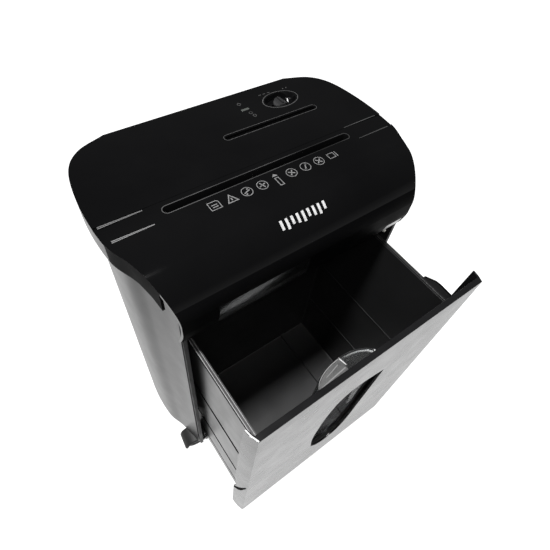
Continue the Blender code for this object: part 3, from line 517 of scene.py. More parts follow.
# ---------------- head
def head_shell():
    """Flat top rolling over into the curved front, with the skirt round the sides and back."""
    outline = plan(HEAD_SIDE)
    floor = 0.40  # below the head, where the cutters end
    seam = -0.031  # where the skirt meets the curved front
    shell = plate("head_shell", "Z", LIP_Z, TOP_Z + 0.01, outline)
    common(shell, plate("side_view", "X", -FAR, FAR, front_profile(0, 0.20, floor)))
    round_edges(shell, 0.0014, 4)
    hollow = plate("hollow", "Z", floor, TOP_Z + 0.02, inset(outline, SKIN))
    common(hollow, plate("hollow_view", "X", -FAR, FAR, front_profile(SKIN, 0.20, floor)))
    carve(shell, hollow)
    below = TOP_Z - SKIRT_DROP
    skirt_edge = [(0.2, below), (-0.005, below), (-0.020, below - 0.006), (seam, below - 0.017),
                  (seam, floor), (0.2, floor)]
    carve(shell, plate("under_skirt", "X", -FAR, FAR, skirt_edge))
    cheeks = plate("beside_front", "X", -FAR, FAR, front_profile(SKIN, 0.20, floor))
    common(cheeks, box("front_only", (-FAR, -0.1, 0.3), (FAR, -0.0305, 0.6)))
    carve(shell, cheeks)
    throat(shell)
    channel(shell)
    disc_slot(shell)
    lamp_x, lamp_y = LAMP_CENTRE
    carve(shell, plate("dial_hole", "Z", 0.45, 0.6, ellipse(DIAL_CENTRE, 0.0235, 0.0145)))
    carve(shell, plate("lamp_hole", "Z", 0.45, 0.6,
                       rounded_slot(lamp_x - 0.006, lamp_x + 0.006, lamp_y, 0.0044)))
    round_edges(shell, 0.00035, 2, 50)
    place_piece(shell, "housing", "gloss_black", "head_cover")

    def on_side(spot, normal):
        return abs(normal.z) < 0.4 and spot.z < TOP_Z - 0.0016

    step_y, low_front_z = 0.03, 0.4860  # where the finish changes on the sides and the front
    paint(shell, BARREL, lambda spot, normal: on_side(spot, normal) and spot.y > step_y)
    paint(shell, SKIRT, lambda spot, normal: on_side(spot, normal) and seam < spot.y < step_y
          and abs(spot.x) > 0.14)
    paint(shell, SKIRT, lambda spot, normal: spot.z < low_front_z and spot.y < -0.040 and normal.y < -0.5)


def throat(shell):
    """The paper slot: a funnel below the top and a flared mouth."""
    half, deep = SLOT_LENGTH / 2, TOP_Z - 0.0165
    fuse(shell, plate("funnel", "X", -half - 0.002, half + 0.002,
                      [(SLOT_Y - 0.0065, TOP_Z - 0.0015), (SLOT_Y - 0.0048, deep),
                       (SLOT_Y + 0.0048, deep), (SLOT_Y + 0.0065, TOP_Z - 0.0015)]))
    carve(shell, plate("slot", "Z", 0.45, 0.6, rounded_slot(-half, half, SLOT_Y, THROAT_WIDTH)))
    mouth = plate("mouth", "Z", TOP_Z - 0.007, TOP_Z + 0.001,
                  rounded_slot(-half - 0.0015, half + 0.0015, SLOT_Y, SLOT_WIDTH))
    for vertex in mouth.data.vertices:
        if vertex.co.z < TOP_Z - 0.003:
            vertex.co.y = SLOT_Y + (vertex.co.y - SLOT_Y) * THROAT_WIDTH / SLOT_WIDTH
            vertex.co.x *= (half - 0.001) / (half + 0.0015)
    carve(shell, mouth)


def channel(shell):
    """The shallow paper channel across the top: deepest at the two edges of the head."""
    deep, shallow = TOP_Z - 0.0012, TOP_Z - 0.0003
    edge_x, slot_x = 0.178, SLOT_LENGTH / 2 + 0.006
    section = [(-edge_x, deep), (-slot_x, shallow), (slot_x, shallow), (edge_x, deep),
               (edge_x, TOP_Z + 0.01), (-edge_x, TOP_Z + 0.01)]
    carve(shell, plate("channel", "Y", *CHANNEL, section))


def disc_slot(shell):
    """The slot for discs and cards, in a shallow rounded recess."""
    start, end = DISC_SLOT
    carve(shell, plate("disc_recess", "Z", TOP_Z - 0.0007, 0.6,
                       rounded_slot(start - 0.0012, end + 0.0012, DISC_SLOT_Y, DISC_SLOT_WIDTH + 0.0024)))
    carve(shell, plate("disc_slot", "Z", 0.45, 0.6, rounded_slot(start, end, DISC_SLOT_Y, DISC_SLOT_WIDTH)))


def dial():
    """The oval dish with its rim, the sliding knob and the lamp lens."""
    cx, cy = DIAL_CENTRE
    stretch = 1.62  # the dish's length over its width
    dish = plate("control_dish", "Z", TOP_Z - 0.0085, TOP_Z - 0.0002, ellipse(DIAL_CENTRE, 0.0231, 0.0141))
    hollow = rod("dish", (cx, cy, TOP_Z - 0.007), (cx, cy, TOP_Z + 0.002), 0.0112, 0.0138, sides=72)
    for vertex in hollow.data.vertices:
        vertex.co.x = cx + (vertex.co.x - cx) * stretch
    carve(dish, hollow)
    carve(dish, plate("knob_way", "Z", 0.48, 0.53, rounded_slot(cx - 0.012, cx + 0.012, cy, 0.005)))
    round_edges(dish, 0.0004, 2, 40)
    place_piece(dish, "housing", "satin_black", "control_bezel", material=GLOSS)

    knob = rod("control_knob", (cx, cy, TOP_Z - 0.0066), (cx, cy, TOP_Z - 0.0022), 0.0084, 0.0076, sides=64)
    for side in (-1, 1):
        carve(knob, rod("finger_cut", (cx + side * 0.0108, cy - 0.012, TOP_Z + 0.0030),
                        (cx + side * 0.0108, cy + 0.012, TOP_Z + 0.0030), 0.0086))
    fuse(knob, plate("grip", "Y", cy - 0.0062, cy + 0.0062,
                     [(cx - 0.0016, TOP_Z - 0.004), (cx + 0.0016, TOP_Z - 0.004),
                      (cx + 0.0008, TOP_Z - 0.0002), (cx - 0.0008, TOP_Z - 0.0002)]))
    fuse(knob, plate("stem", "Z", TOP_Z - 0.0125, TOP_Z - 0.006,
                     rounded_slot(cx - 0.004, cx + 0.004, cy, 0.0042)))
    round_edges(knob, 0.0003, 2, 35)
    place_piece(knob, "control_switch", "satin_black", "control_switch")

    lamp_x, lamp_y = LAMP_CENTRE
    lens = plate("lamp_lens", "Z", TOP_Z - 0.006, TOP_Z - 0.0002,
                 rounded_slot(lamp_x - 0.0057, lamp_x + 0.0057, lamp_y, 0.0038))
    round_edges(lens, 0.0006, 3, 40)
    place_piece(lens, "housing", "lamp", "indicator_lens")


# ---------------- printed marks
def ring(centre, radius, line):
    return [ellipse(centre, radius, radius, 40), ellipse(centre, radius - line, radius - line, 40)]


def frame_of(outline, line=0.0008):
    """An outline and the same one moved inwards, which leaves a line between them."""
    return [outline, inset(outline, line)]


def bar(centre, length, width, degrees=0.0):
    """A rectangle turned about its centre."""
    angle = math.radians(degrees)
    along, across = Vector((math.cos(angle), math.sin(angle))), Vector((-math.sin(angle), math.cos(angle)))
    corners = ((1, 1), (-1, 1), (-1, -1), (1, -1))
    return [tuple(Vector(centre) + along * a * length / 2 + across * b * width / 2) for a, b in corners]


def printed(name, outlines, material, height=TOP_Z, body="housing", slot="gloss_black"):
    """Flat marks laid on a level face."""
    marks = plate(name, "Z", height, height + PRINT_THICK, *outlines)
    place_piece(marks, body, slot, material=material)


def painted_edge_highlights():
    """Painted highlights where the head's edges catch the light: channel, slots and dish."""
    left, right = [], []
    front, back = CHANNEL
    # Painted highlights on the channel's edges: a pair of lines at each edge on the left, a single faint line
    # at each edge on the right.
    for y, start, end in ((front - 0.0006, -0.1695, -0.1290), (back - 0.0018, -0.1735, -0.1310)):
        for line in (-1, 1):
            outer, inner = y + line * 0.00085, y + line * 0.0003
            left += [[(start, outer - 0.0004), (end, inner - 0.0002),
                      (end, inner + 0.0002), (start, outer + 0.0004)]]
    for y, start, end in ((front - 0.0006, 0.1230, 0.1685), (back + 0.0006, 0.1200, 0.1695)):
        right += [[(start, y - 0.0003), (end, y - 0.0006), (end, y + 0.0006), (start, y + 0.0003)]]
    printed("channel_edges", left, PAINTED_EDGE_HIGHLIGHT)
    printed("channel_far_edges", right, PAINTED_FAINT_HIGHLIGHT)
    # Painted highlights round the paper slot, the disc slot and the dish's rim.
    half = SLOT_LENGTH / 2 + 0.0022
    slots = [rounded_slot(-half, half, SLOT_Y, SLOT_WIDTH + 0.0018),
             rounded_slot(-half + 0.0007, half - 0.0007, SLOT_Y, SLOT_WIDTH + 0.0004)]
    printed("slot_edge", slots, PAINTED_FAINT_HIGHLIGHT, TOP_Z - 0.0003)
    start, end = DISC_SLOT
    discs = [rounded_slot(start - 0.0020, end + 0.0020, DISC_SLOT_Y, DISC_SLOT_WIDTH + 0.0040),
             rounded_slot(start - 0.0013, end + 0.0013, DISC_SLOT_Y, DISC_SLOT_WIDTH + 0.0026)]
    printed("disc_slot_edge", discs, DIM_PRINT_AND_SHEEN)
    rim = [ellipse(DIAL_CENTRE, 0.0244, 0.0153), ellipse(DIAL_CENTRE, 0.0236, 0.0146)]
    printed("dish_edge", rim, PAINTED_FAINT_HIGHLIGHT)


def feed_marks():
    """Nine plain marks in a row in front of the slot."""
    start, pitch, y = -0.0712, 0.01835, 0.0222
    centres = [(start + pitch * step, y) for step in range(9)]
    sheet_x = centres[0][0]
    sheet = [(sheet_x - 0.0060, y - 0.0055), (sheet_x + 0.0060, y - 0.0055), (sheet_x + 0.0060, y + 0.0035),
             (sheet_x + 0.0040, y + 0.0055), (sheet_x - 0.0060, y + 0.0055)]
    outlines = frame_of(sheet)
    outlines += [bar((sheet_x, y + shift), 0.0062, 0.0011) for shift in (-0.002, 0.0008)]
    tri_x = centres[1][0]
    triangle = [(tri_x - 0.0064, y - 0.0052), (tri_x + 0.0064, y - 0.0052), (tri_x, y + 0.0062)]
    outlines += frame_of(triangle, 0.0011) + [bar((tri_x, y - 0.0010), 0.0034, 0.0012, 90)]
    for index, turn in ((2, 20), (3, 110), (5, -35), (6, 65), (7, 45)):
        outlines += ring(centres[index], 0.0062, 0.0008)
        outlines += [bar(centres[index], 0.0078, 0.0013, turn)]
        if index in (3, 5, 7):
            lean = math.radians(turn + 90)
            for side in (-1, 1):
                spot = Vector(centres[index]) + Vector((math.cos(lean), math.sin(lean))) * side * 0.0026
                outlines += [bar(spot, 0.0030, 0.0013, turn + 90)]
        else:
            outlines += [ellipse((centres[index][0] + side * 0.0018, y + side * 0.0030), 0.0010, 0.0010, 16)
                         for side in (-1, 1)]
    tall_x = centres[4][0]
    outlines += frame_of([(tall_x - 0.0026, y - 0.0100), (tall_x + 0.0026, y - 0.0100),
                          (tall_x + 0.0026, y + 0.0020), (tall_x - 0.0026, y + 0.0020)], 0.0009)
    outlines += [[(tall_x - 0.0034, y + 0.0040), (tall_x + 0.0034, y + 0.0040), (tall_x, y + 0.0078)]]
    card_x = centres[8][0]
    outlines += frame_of([(card_x - 0.0055, y - 0.0040), (card_x + 0.0035, y - 0.0040),
                          (card_x + 0.0035, y + 0.0040), (card_x - 0.0055, y + 0.0040)])
    outlines += [bar((card_x + 0.0058, y), 0.0080, 0.0010, 90)]
    printed("feed_marks", outlines, FINE_PRINT)


def lamp_and_dial_marks():
    """Small plain marks beside the lamp and behind the dish."""
    outlines = [bar((0.0375, 0.1472), size, size, 45) for size in (0.0042, 0.0026)]
    outlines += ring((0.0408, 0.1272), 0.0024, 0.0008) + ring((0.0422, 0.1210), 0.0024, 0.0008)
    outlines += [bar((0.0700 + 0.0062 * step, 0.1512), 0.0036, 0.0011) for step in range(3)]
    outlines += [ellipse((0.1035 + 0.0050 * step, 0.1500), 0.0009, 0.0009, 16) for step in range(2)]
    printed("lamp_and_dial_marks", outlines, DIM_PRINT_AND_SHEEN)


def front_height(y):
    """Height of the head's curved front at a depth y."""
    curve = smooth(FRONT_CURVE, 24)
    for (y0, z0), (y1, z1) in zip(curve, curve[1:]):
        if y1 <= y <= y0:
            return z0 + (z1 - z0) * (y - y0) / (y1 - y0)
    return TOP_Z


def front_emblem():
    """A plain emblem of nine falling strips of uneven length, laid on the curved front."""
    bm = bmesh.new()
    top_y, bottom_y, steps, strips = -0.0222, -0.0302, 8, 9
    pitch, half_width, unevenness = 0.0066, 0.0015, 0.0012
    for strip in range(strips):
        middle = pitch * (strip - (strips - 1) / 2)
        drop = unevenness * math.sin(strip * 2.1)
        rows = []
        for step in range(steps + 1):
            y = top_y + (bottom_y - drop - top_y) * step / steps
            z = front_height(y) + FILM_GAP
            rows.append([bm.verts.new((middle + side * half_width, y, z)) for side in (-1, 1)])
        bridge(bm, rows)
    emblem = mesh_object("front_emblem", bm)
    thicken(emblem)
    place_piece(emblem, "housing", "gloss_black", material=PRINT)


def lip_sheen():
    """The glossy stretches of the head's lower lip, each up to its own height."""
    bm = bmesh.new()
    for x_low, x_high, z_high in ((-0.112, -0.004, 0.4690), (0.118, 0.1440, 0.4480)):
        bridge(bm, [[bm.verts.new((x, y - FILM_GAP, z)) for x in (x_low, x_high)]
                    for y, z in smooth(FRONT_CURVE, 10) if LIP_Z + 0.001 < z <= z_high])
    sheen = mesh_object("lip_sheen", bm)
    thicken(sheen)
    place_piece(sheen, "housing", "gloss_black", material=LIP)


# ---------------- body
def side_wall(name, side, stands_for):
    """A barrel-shaped wall with its rounded ear beside the head's front."""
    outer = smooth(BODY_SIDE)
    inner = inset(plan(BODY_SIDE), WALL)[:len(outer)]
    band = [(max(x, BACK_X + 0.0004), y) for x, y in outer + inner[::-1]]
    shell = plate(name, "Z", BASE_Z, 0.53, [(side * x, y) for x, y in band])
    under_head = front_profile(SKIN + 0.0012, 0.20, 0.0)[:-1]
    ahead = under_head + [(under_head[-1][0], -0.1), (-FAR, -0.1), (-FAR, 0.7), (0.20, 0.7)]
    carve(shell, plate("ahead", "X", -FAR, FAR, ahead))
    above = TOP_Z - SKIRT_DROP + 0.004
    carve(shell, box("under_skirt", (-FAR, -0.0290, above), (FAR, 0.2, 0.6)))
    carve(shell, box("mouth", (-0.1448, -0.06, 0.0), (0.1448, -0.0405, 0.6)))
    round_edges(shell, 0.0006, 3, 45)
    place_piece(shell, "housing", "gloss_black", stands_for, material=BARREL)


def wall_liner(name, side):
    """The textured strip down the wall's front edge, turned in behind it."""
    outline = [(0.1450, -0.0443), (0.1497, -0.0443), (0.1499, -0.0415), (0.1474, -0.0413), (0.1474, -0.0142),
               (0.1545, -0.0142), (0.1545, -0.0122), (0.1450, -0.0122)]
    liner = plate(name, "Z", BASE_Z + 0.0008, LIP_Z - 0.0008, [(side * x, y) for x, y in outline])
    if side > 0:
        carve(liner, box("switch_hole", (0.1400, -0.0405, 0.4050), (0.1489, -0.0333, 0.4200)))
    round_edges(liner, 0.0004, 2, 45)
    place_piece(liner, "housing", "gloss_black", material=EDGE)


def rear_wall():
    """The flat back with two columns of vents and the gland's hole."""
    back = box("rear_wall", (-BACK_X, 0.1600 - WALL, BASE_Z), (BACK_X, 0.1600, 0.4945))
    for row in range(5):
        for column in (-1, 1):
            x, z = column * 0.045, 0.4535 + 0.007 * row
            carve(back, plate("vent", "Y", 0.15, 0.17, rounded_slot(x - 0.022, x + 0.022, z, 0.003, 6)))
    carve(back, rod("gland_hole", (-0.085, 0.15, 0.400), (-0.085, 0.17, 0.400), 0.0055, sides=40))
    round_edges(back, 0.0004, 2, 45)
    place_piece(back, "housing", "gloss_black", "back_wall")


# ---------------- drawer
def leaf(grow=0.0):
    """The finger opening's outline: a leaf between a low left and a high right tip, as (x, z)."""
    low_tip, high_tip = (-0.036, 0.178), (0.034, 0.363)
    upper = [low_tip, (-0.0445, 0.232), (-0.0460, 0.285), (-0.0420, 0.335), (-0.0300, 0.368), (-0.006, 0.375),
             high_tip]
    lower = [high_tip, (0.0335, 0.305), (0.0320, 0.245), (0.0310, 0.190), (0.0225, 0.148), (0.0040, 0.136),
             (-0.0180, 0.148), low_tip]
    outline = smooth(upper, 10)[:-1] + smooth(lower, 10)[:-1]
    return inset(outline, -grow) if grow else outline


def bin_body():
    """The tub: a floor with a ridge, a stepped rim with the switch tab, ribs inside, grooves outside; painted
    shade in the grooves and inside, painted highlights on the rim.
    """
    x, (y0, y1), (z0, z1) = BIN_X, BIN_Y, BIN_Z
    rim_x = x + 0.0031
    tub = box("bin_body", (-x, y0, z0), (x, y1, z1))
    fuse(tub, box("rim", (-rim_x, y0 + 0.0002, z1 - 0.0030), (rim_x, y1 + 0.0020, z1)))
    round_edges(tub, 0.0008, 3, 40)
    inside = box("inside", (-x + BIN_WALL, y0 + BIN_WALL, z0 + BIN_WALL),
                 (x - BIN_WALL, y1 - BIN_WALL, z1 + 0.02))
    round_edges(inside, 0.0025, 4, 40)
    carve(tub, inside)
    carve(tub, box("rim_step", (-x + BIN_WALL - 0.0014, y0 + BIN_WALL, z1 - 0.0016),
                   (x - BIN_WALL + 0.0014, y1 - BIN_WALL + 0.0012, z1 + 0.01)))
    tab = [(-0.1125, z1 - 0.0020), (-0.1150, z1 + 0.0040), (-0.1290, z1 + 0.0110), (-0.1360, z1 + 0.0120),
           (-0.1528, z1 + 0.0112), (-0.1530, z1 - 0.0020)]
    fuse(tub, plate("switch_tab", "X", 0.1368, 0.1393, tab))
    ridge = plate("ridge", "Y", y0 + 0.001, y1 - 0.001,
                  [(0.0795, z0 + 0.001), (0.0865, z0 + 0.001), (0.0852, z0 + 0.0058), (0.0808, z0 + 0.0058)])
    fuse(tub, ridge)
    carve(tub, plate("finger_room", "Y", y0 - 0.01, y0 + 0.01, leaf(0.0035)))
    for side in (-1, 1):
        for z, tall in GROOVES:
            low, high = both(side, x - 0.0010, x + 0.01)
            front = -0.1315 if z < 0.3 else y0 + 0.002  # the highest one runs on to the front
            carve(tub, box("groove", (low, front, z), (high, y1 + 0.01, z + tall)))
            if 0.1 < z < 0.3:  # the two middle ones have a rib inside
                low, high = both(side, x - BIN_WALL - 0.0008, x - BIN_WALL + 0.0005)
                fuse(tub, box("rib", (low, -0.1500, z + 0.0067), (high, y1 - 0.006, z + 0.0091)))
    round_edges(tub, 0.0003, 2, 50)
    place_piece(tub, "drawer", "bin_black", "bin")
    # The outer faces take the lighter copy of the plastic and the inside keeps the darker one: painted shade
    # inside the tub.
    paint(tub, BIN_LIT_OUTSIDE, lambda spot, normal: abs(spot.x) > x - 0.0002
          or abs(normal.y) > 0.5 and spot.y > y1 - 0.0001)
    # Painted shade: the faces of the outer grooves (the highest stands for the shadow under the rim), the
    # rim's outer side and the rim's top.
    paint(tub, PAINTED_SHADE, lambda spot, normal: x - 0.0012 < abs(spot.x) < x - 0.0002
          and any(z - 0.0004 < spot.z < z + tall + 0.0004 for z, tall in GROOVES))
    paint(tub, PAINTED_SHADE, lambda spot, normal: abs(spot.x) > rim_x - 0.0004 and spot.z > z1 - 0.0029
          and abs(normal.z) < 0.7)
    paint(tub, PAINTED_SHADE, lambda spot, normal: abs(spot.x) > x - BIN_WALL and spot.z > z1 - 0.0020
          and normal.z > 0.7)
    # Painted highlights: two light lines along the top of each rim, bright on the left and dim on the right,
    # as the light falls.
    for side, word, rim_glint in ((-1, "left", PAINTED_EDGE_HIGHLIGHT), (1, "right", DIM_PRINT_AND_SHEEN)):
        lines = []
        for inner, outer in ((0.1356, 0.1362), (0.1385, 0.1392)):
            low, high = both(side, inner, outer)
            lines += [[(low, y0 + 0.004), (high, y0 + 0.004), (high, y1), (low, y1)]]
        printed(f"{word}_rim_highlights", lines, rim_glint, z1, "drawer", "bin_black")


def panel_sheet():
    """The front sheet: its top turned back, its flanges flared and notched, and the leaf opening."""
    z0, z1 = FACE_Z
    back = FACE_Y + 0.0070
    lobe = 0.0225
    bend = [(FACE_X + out, FACE_Y + behind) for out, behind in (FLANGE_BEND, FLANGE_EDGE)]
    inner = [(FACE_X + 0.0032, FACE_Y + lobe - 0.0010), (FACE_X + 0.0006, FACE_Y + 0.0085),
             (FACE_X - 0.0025, FACE_Y + 0.0028)]
    right = [(FACE_X, FACE_Y)] + bend + inner
    section = right + [(-x, y) for x, y in reversed(right)]
    panel = plate("panel_sheet", "Z", z0, z1, section)
    fuse(panel, box("top_turn", (-0.1462, FACE_Y + 0.0015, z1 - 0.0030), (0.1462, back - 0.0006, z1)))
    fuse(panel, box("bottom_turn", (-0.1460, FACE_Y + 0.0015, z0), (0.1460, back - 0.0006, z0 + 0.0030)))
    slope = [(-0.20, z1 + 0.01), (FACE_Y + 0.0150, z1 + 0.0001), (FACE_Y + 0.0178, 0.380),
             (FACE_Y + 0.0200, 0.2300), (FACE_Y + 0.0165, 0.2080), (FACE_Y + 0.0165, 0.1900),
             (FACE_Y + lobe, 0.1680), (FACE_Y + lobe, z0 + 0.010), (FACE_Y + lobe - 0.005, z0 + 0.002),
             (FACE_Y + 0.0120, z0 - 0.001), (-0.20, z0 - 0.01)]
    common(panel, plate("side_slope", "X", -FAR, FAR, slope))
    round_edges(panel, 0.0007, 3, 40)
    carve(panel, plate("leaf", "Y", FACE_Y - 0.01, FACE_Y + 0.012, leaf()))
    round_edges(panel, 0.0003, 2, 60)
    place_piece(panel, "drawer", "gloss_black", "front_panel", material=PANEL)
    paint(panel, BAND, lambda spot, normal: spot.z > z1 - 0.0004 and normal.z > 0.6)


def loft(name, rings):
    """A solid through closed rings of the same count, capped at both ends."""
    bm = bmesh.new()
    rows = [[bm.verts.new(point) for point in ring_points] for ring_points in rings]
    for row, after in zip(rows, rows[1:]):
        for step in range(len(row)):
            follow = (step + 1) % len(row)
            bm.faces.new((row[step], row[follow], after[follow], after[step]))
    bm.faces.new(rows[0])
    bm.faces.new(rows[-1])
    return mesh_object(name, bm)


def pocket_arc(z, shrink, steps=48):
    """Half an ellipse behind the panel at a height: the pocket draws in near its top, mostly on the right."""
    lean = min(1.0, max(0.0, (z - POCKET_NECK[0]) / (POCKET_NECK[-1] - POCKET_NECK[0])))
    right = POCKET_CENTRE + POCKET_X - 0.0205 * lean
    left = POCKET_CENTRE - POCKET_X + 0.0030 * lean
    middle, half = (right + left) / 2, (right - left) / 2 - shrink
    front = BIN_Y[0] + BIN_WALL + 0.0004
    return [(middle + half * math.cos(math.pi * step / steps),
             front + (POCKET_DEPTH - shrink) * math.sin(math.pi * step / steps)) for step in range(steps + 1)]


def pocket_window():
    """The clear pocket behind the leaf; on its cap, a painted grey reflection, a painted highlight across it
    and painted highlight lines.
    """
    (z0, z1), wall = POCKET_Z, 0.0020
    heights = (z0, *POCKET_NECK, z1)
    shell = loft("pocket_window", [[(x, y, z) for x, y in pocket_arc(z, 0.0)] for z in heights])
    round_edges(shell, 0.0008, 3, 40)
    inner = []
    for z in (z0 + wall, *POCKET_NECK, z1 - wall):
        arc = pocket_arc(z, wall)
        ahead = [(x, y - 0.01) for x, y in (arc[0], arc[-1])]
        inner.append([(x, y, z) for x, y in [ahead[0], *arc, ahead[1]]])
    carve(shell, loft("hollow", inner))
    place_piece(shell, "drawer", "clear", "clear_pocket")

    # Painted light on the cap: a dim grey reflection over its left part, a bright highlight across it, and
    # lighter lines along its curved edge and near its front.
    arc = pocket_arc(z1, 0.0010, 24)
    front = arc[0][1]
    left = [point for point in arc if point[0] < -0.0200]
    cross_x, cross_y = left[0]
    edge = left + [(x, y - 0.0009) for x, y in reversed(left)]
    ridge = [(cross_x - 0.0012, cross_y), (cross_x + 0.0002, cross_y + 0.0006),
             (cross_x + 0.0022, cross_y - 0.0100), (cross_x + 0.0010, cross_y - 0.0100)]
    streak_highlights = [[(cross_x - 0.0010, front + 0.0085), (-0.0560, front + 0.0050),
                (-0.0560, front + 0.0042), (cross_x - 0.0010, front + 0.0072)],
               [(cross_x - 0.0060, front + 0.0150), (-0.0450, front + 0.0105),
                (-0.0450, front + 0.0100), (cross_x - 0.0060, front + 0.0140)]]
    grey_reflection = [(x + 0.0004, y - 0.0012) for x, y in left]
    grey_reflection += [(left[-1][0] + 0.0010, front + 0.0010), (cross_x, front + 0.0010)]
    printed("pocket_grey_reflection", [grey_reflection], DIM_PRINT_AND_SHEEN, z1 - 0.00003, "drawer", "clear")
    printed("pocket_ridge_highlight", [ridge], HIGHLIGHT, z1 + 0.00002, "drawer", "clear")
    printed("pocket_streak_highlights", [edge] + streak_highlights, PAINTED_EDGE_HIGHLIGHT, z1 + 0.00002, "drawer", "clear")


def flange_spot(side, along, off=FILM_GAP):
    """(x, y) on a flange's outer face: from the corner (-1) past its bend (0) to its free edge (1)."""
    bend, edge = Vector(FLANGE_BEND), Vector(FLANGE_EDGE)
    out, behind = bend * (1 + along) if along < 0 else bend.lerp(edge, along)
    return side * (FACE_X + out + off), FACE_Y + behind


def flange_lines():
    """The painted shade of a slanted crease low on each flange, and a painted highlight along the top edge of
    the left flange only.
    """
    # A dark film on each flange's face where the crease's shade falls.
    path = ((-0.75, 0.2330, 0.2240), (0.0, 0.2120, 0.1930), (0.4, 0.1930, 0.1750), (0.95, 0.1740, 0.1630))
    bm = bmesh.new()
    for side in (-1, 1):
        bridge(bm, [[bm.verts.new((*flange_spot(side, along), z)) for z in heights]
                    for along, *heights in path])
    crease_shades = mesh_object("flange_crease_shades", bm)
    thicken(crease_shades)
    place_piece(crease_shades, "drawer", "gloss_black", material=PAINTED_SHADE)

    # Painted highlight along the left flange's top edge, where it catches the light.
    outside = [flange_spot(-1, along, -0.0003) for along in (-0.95, 0.0, 0.52)]
    inside = [(x + 0.0012, y + 0.0004) for x, y in reversed(outside)]
    printed("flange_edge_highlight", [outside + inside], HIGHLIGHT, FACE_Z[1], "drawer", "gloss_black")


# ---------------- casters
def caster_fork(word, stem, hub, across):
    """A round hood over the twin wheel, its web between the two discs, and the boss and stem above."""
    fork = rod(f"caster_hood_{word}", hub - across * 0.0150, hub + across * 0.0150, 0.0212)
    round_edges(fork, 0.0030, 4, 40)
    carve(fork, rod("wheel_room", hub - across * 0.0200, hub + across * 0.0200, 0.0172))
    carve(fork, box("open_below", hub - Vector((0.05, 0.05, 0.05)), hub + Vector((0.05, 0.05, 0.0020))))
    web = hub + Vector((0, 0, 0.0045))
    fuse(fork, rod("web", web - across * 0.0016, web + across * 0.0016, 0.0140))
    fuse(fork, rod("boss", stem + Vector((0, 0, 0.0320)), stem + Vector((0, 0, BASE_Z - 0.0005)), 0.0085))
    fuse(fork, rod("stem", stem + Vector((0, 0, 0.0350)), stem + Vector((0, 0, 0.0467)), 0.0034))
    carve(fork, rod("axle_hole", hub - across * 0.03, hub + across * 0.03, 0.0019, sides=24))
    round_edges(fork, 0.0004, 2, 45)
    place_piece(fork, f"caster_{word}", "satin_black", f"caster_fork_{word}", material=FORK)


def caster_wheel(word, hub, across):
    """Two rounded discs on one axle, each dished outside with a ring of pits."""
    wheel = rod(f"caster_tyres_{word}", hub - across * 0.0115, hub + across * 0.0115, 0.0018)
    for side in (-1, 1):
        outward = across * side
        disc = rod("disc", hub + outward * 0.0024, hub + outward * 0.0110, CASTER_WHEEL_R)
        round_edges(disc, 0.0016, 4, 40)
        carve(disc, rod("dish", hub + outward * 0.0098, hub + outward * 0.0130, 0.0100, 0.0112))
        for pit in range(6):
            turn = Matrix.Rotation(math.tau * pit / 6, 3, across)
            spot = hub + turn @ Vector((0, 0, 0.0065)) + outward * 0.0102
            carve(disc, rod("pit", spot - across * 0.0012, spot + across * 0.0012, 0.0018, sides=20))
        fuse(wheel, disc)
    round_edges(wheel, 0.0002, 2, 50)
    place_piece(wheel, f"wheel_{word}", "tyre", f"caster_wheel_{word}")


def casters():
    """Four swivelling casters, each turned to its own heading."""
    for word, (x, y, heading) in CASTERS.items():
        angle = math.radians(heading)
        along = Vector((math.cos(angle), math.sin(angle), 0.0))
        across = Vector((-along.y, along.x, 0.0))
        stem = Vector((x, y, 0.0))
        hub = stem + along * TRAIL + Vector((0, 0, CASTER_WHEEL_R))
        caster_fork(word, stem, hub, across)
        caster_wheel(word, hub, across)


# ---------------- the frame's own nodes
def finish_frame():
    """Give every frame piece that still shows its procedural material and softened edges."""
    slots = {part["node"]: part["material_slot"] for part in frame["record"]["subparts"]}
    for name, piece in frame["nodes"].items():
        material = SLOT_MATERIALS[slots[name]]
        for socket in piece.material_slots:
            socket.material = material
        if not piece.material_slots:
            piece.data.materials.append(material)
        soften(piece, 0.00025, 2, 40)


# ---------------- stage, light and camera
def floor():
    """A pale disc of floor, set back so that it fills the picture."""
    bm = bmesh.new()
    bmesh.ops.create_circle(bm, cap_ends=True, segments=96, radius=2.9,
                            matrix=Matrix.Translation((0.45, 0.75, -0.0002)))
    ground = mesh_object("pale_floor", bm)
    made, tree, shader = shader_of("pale_floor")
    two_tone(tree, shader, noise(tree, 2.0).outputs["Fac"], (0.10, 0.10, 0.10), (0.12, 0.12, 0.12))
    shader.inputs["Roughness"].default_value = 0.9
    shader.inputs["Emission Color"].default_value = (1, 1, 1, 1)
    shader.inputs["Emission Strength"].default_value = 1.0
    ground.data.materials.append(made)


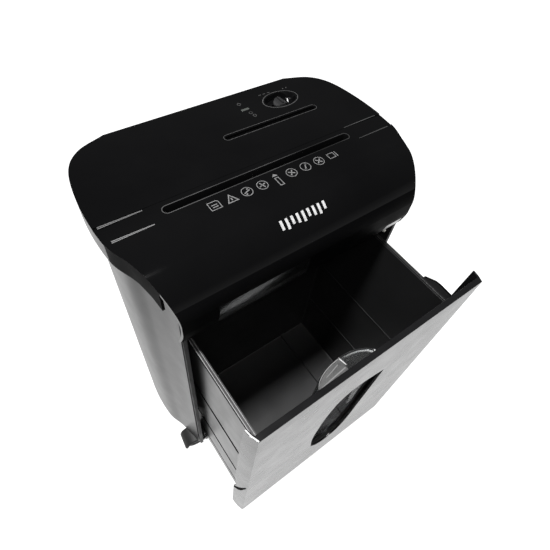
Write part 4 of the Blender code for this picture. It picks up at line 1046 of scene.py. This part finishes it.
def sky():
    """Grey low round the horizon and dim overhead, as in a studio with a dark ceiling."""
    world = bpy.data.worlds.new("studio")
    bpy.context.scene.world = world
    world.use_nodes = True
    tree = world.node_tree
    back = tree.nodes["Background"]
    place = tree.nodes.new("ShaderNodeTexCoord")
    split = tree.nodes.new("ShaderNodeSeparateXYZ")
    ramp = tree.nodes.new("ShaderNodeValToRGB")
    ramp.color_ramp.elements[0].position, ramp.color_ramp.elements[0].color = 0.02, (0.5, 0.5, 0.5, 1)
    ramp.color_ramp.elements[1].position, ramp.color_ramp.elements[1].color = 0.22, (0.12, 0.12, 0.12, 1)
    tree.links.new(place.outputs["Generated"], split.inputs["Vector"])
    tree.links.new(split.outputs["Z"], ramp.inputs["Fac"])
    tree.links.new(ramp.outputs["Color"], back.inputs["Color"])
    back.inputs["Strength"].default_value = 0.38


def softbox(name, place, aim, size, power):
    """A soft rectangular lamp turned towards a point."""
    light = bpy.data.lights.new(name, "AREA")
    light.shape = "RECTANGLE"
    light.size, light.size_y = size
    light.energy = power
    made = bpy.data.objects.new(name, light)
    made.location = place
    made.rotation_euler = (Vector(aim) - Vector(place)).to_track_quat("-Z", "Y").to_euler()
    bpy.context.scene.collection.objects.link(made)


def camera():
    """Above and to the left of the front corner, looking down past the bin."""
    lens = bpy.data.cameras.new("camera")
    lens.sensor_width, lens.lens = 36.0, 27.948
    lens.clip_start = 0.02
    made = bpy.data.objects.new("camera", lens)
    made.location = (-0.21543, -0.22683, 0.80963)
    made.rotation_euler = [math.radians(angle) for angle in (35.326, -5.377, -35.935)]
    bpy.context.scene.collection.objects.link(made)
    bpy.context.scene.camera = made


camera()
floor()
sky()
softbox("overhead", (-0.52, -0.05, 2.5), (0.0, -0.08, 0.1), (0.26, 1.1), 175.0)
softbox("front_fill", (-0.50, -0.95, 2.4), (0.0, -0.05, 0.2), (0.5, 0.5), 34.0)
bpy.context.scene.view_settings.view_transform = "Standard"

head_shell()
dial()
painted_edge_highlights()
feed_marks()
lamp_and_dial_marks()
front_emblem()
lip_sheen()
for side, word in ((-1, "left"), (1, "right")):
    side_wall(f"{word}_wall_shell", side, f"{word}_side_wall")
    wall_liner(f"{word}_wall_strip", side)
rear_wall()
bin_body()
panel_sheet()
flange_lines()
pocket_window()
casters()
finish_frame()
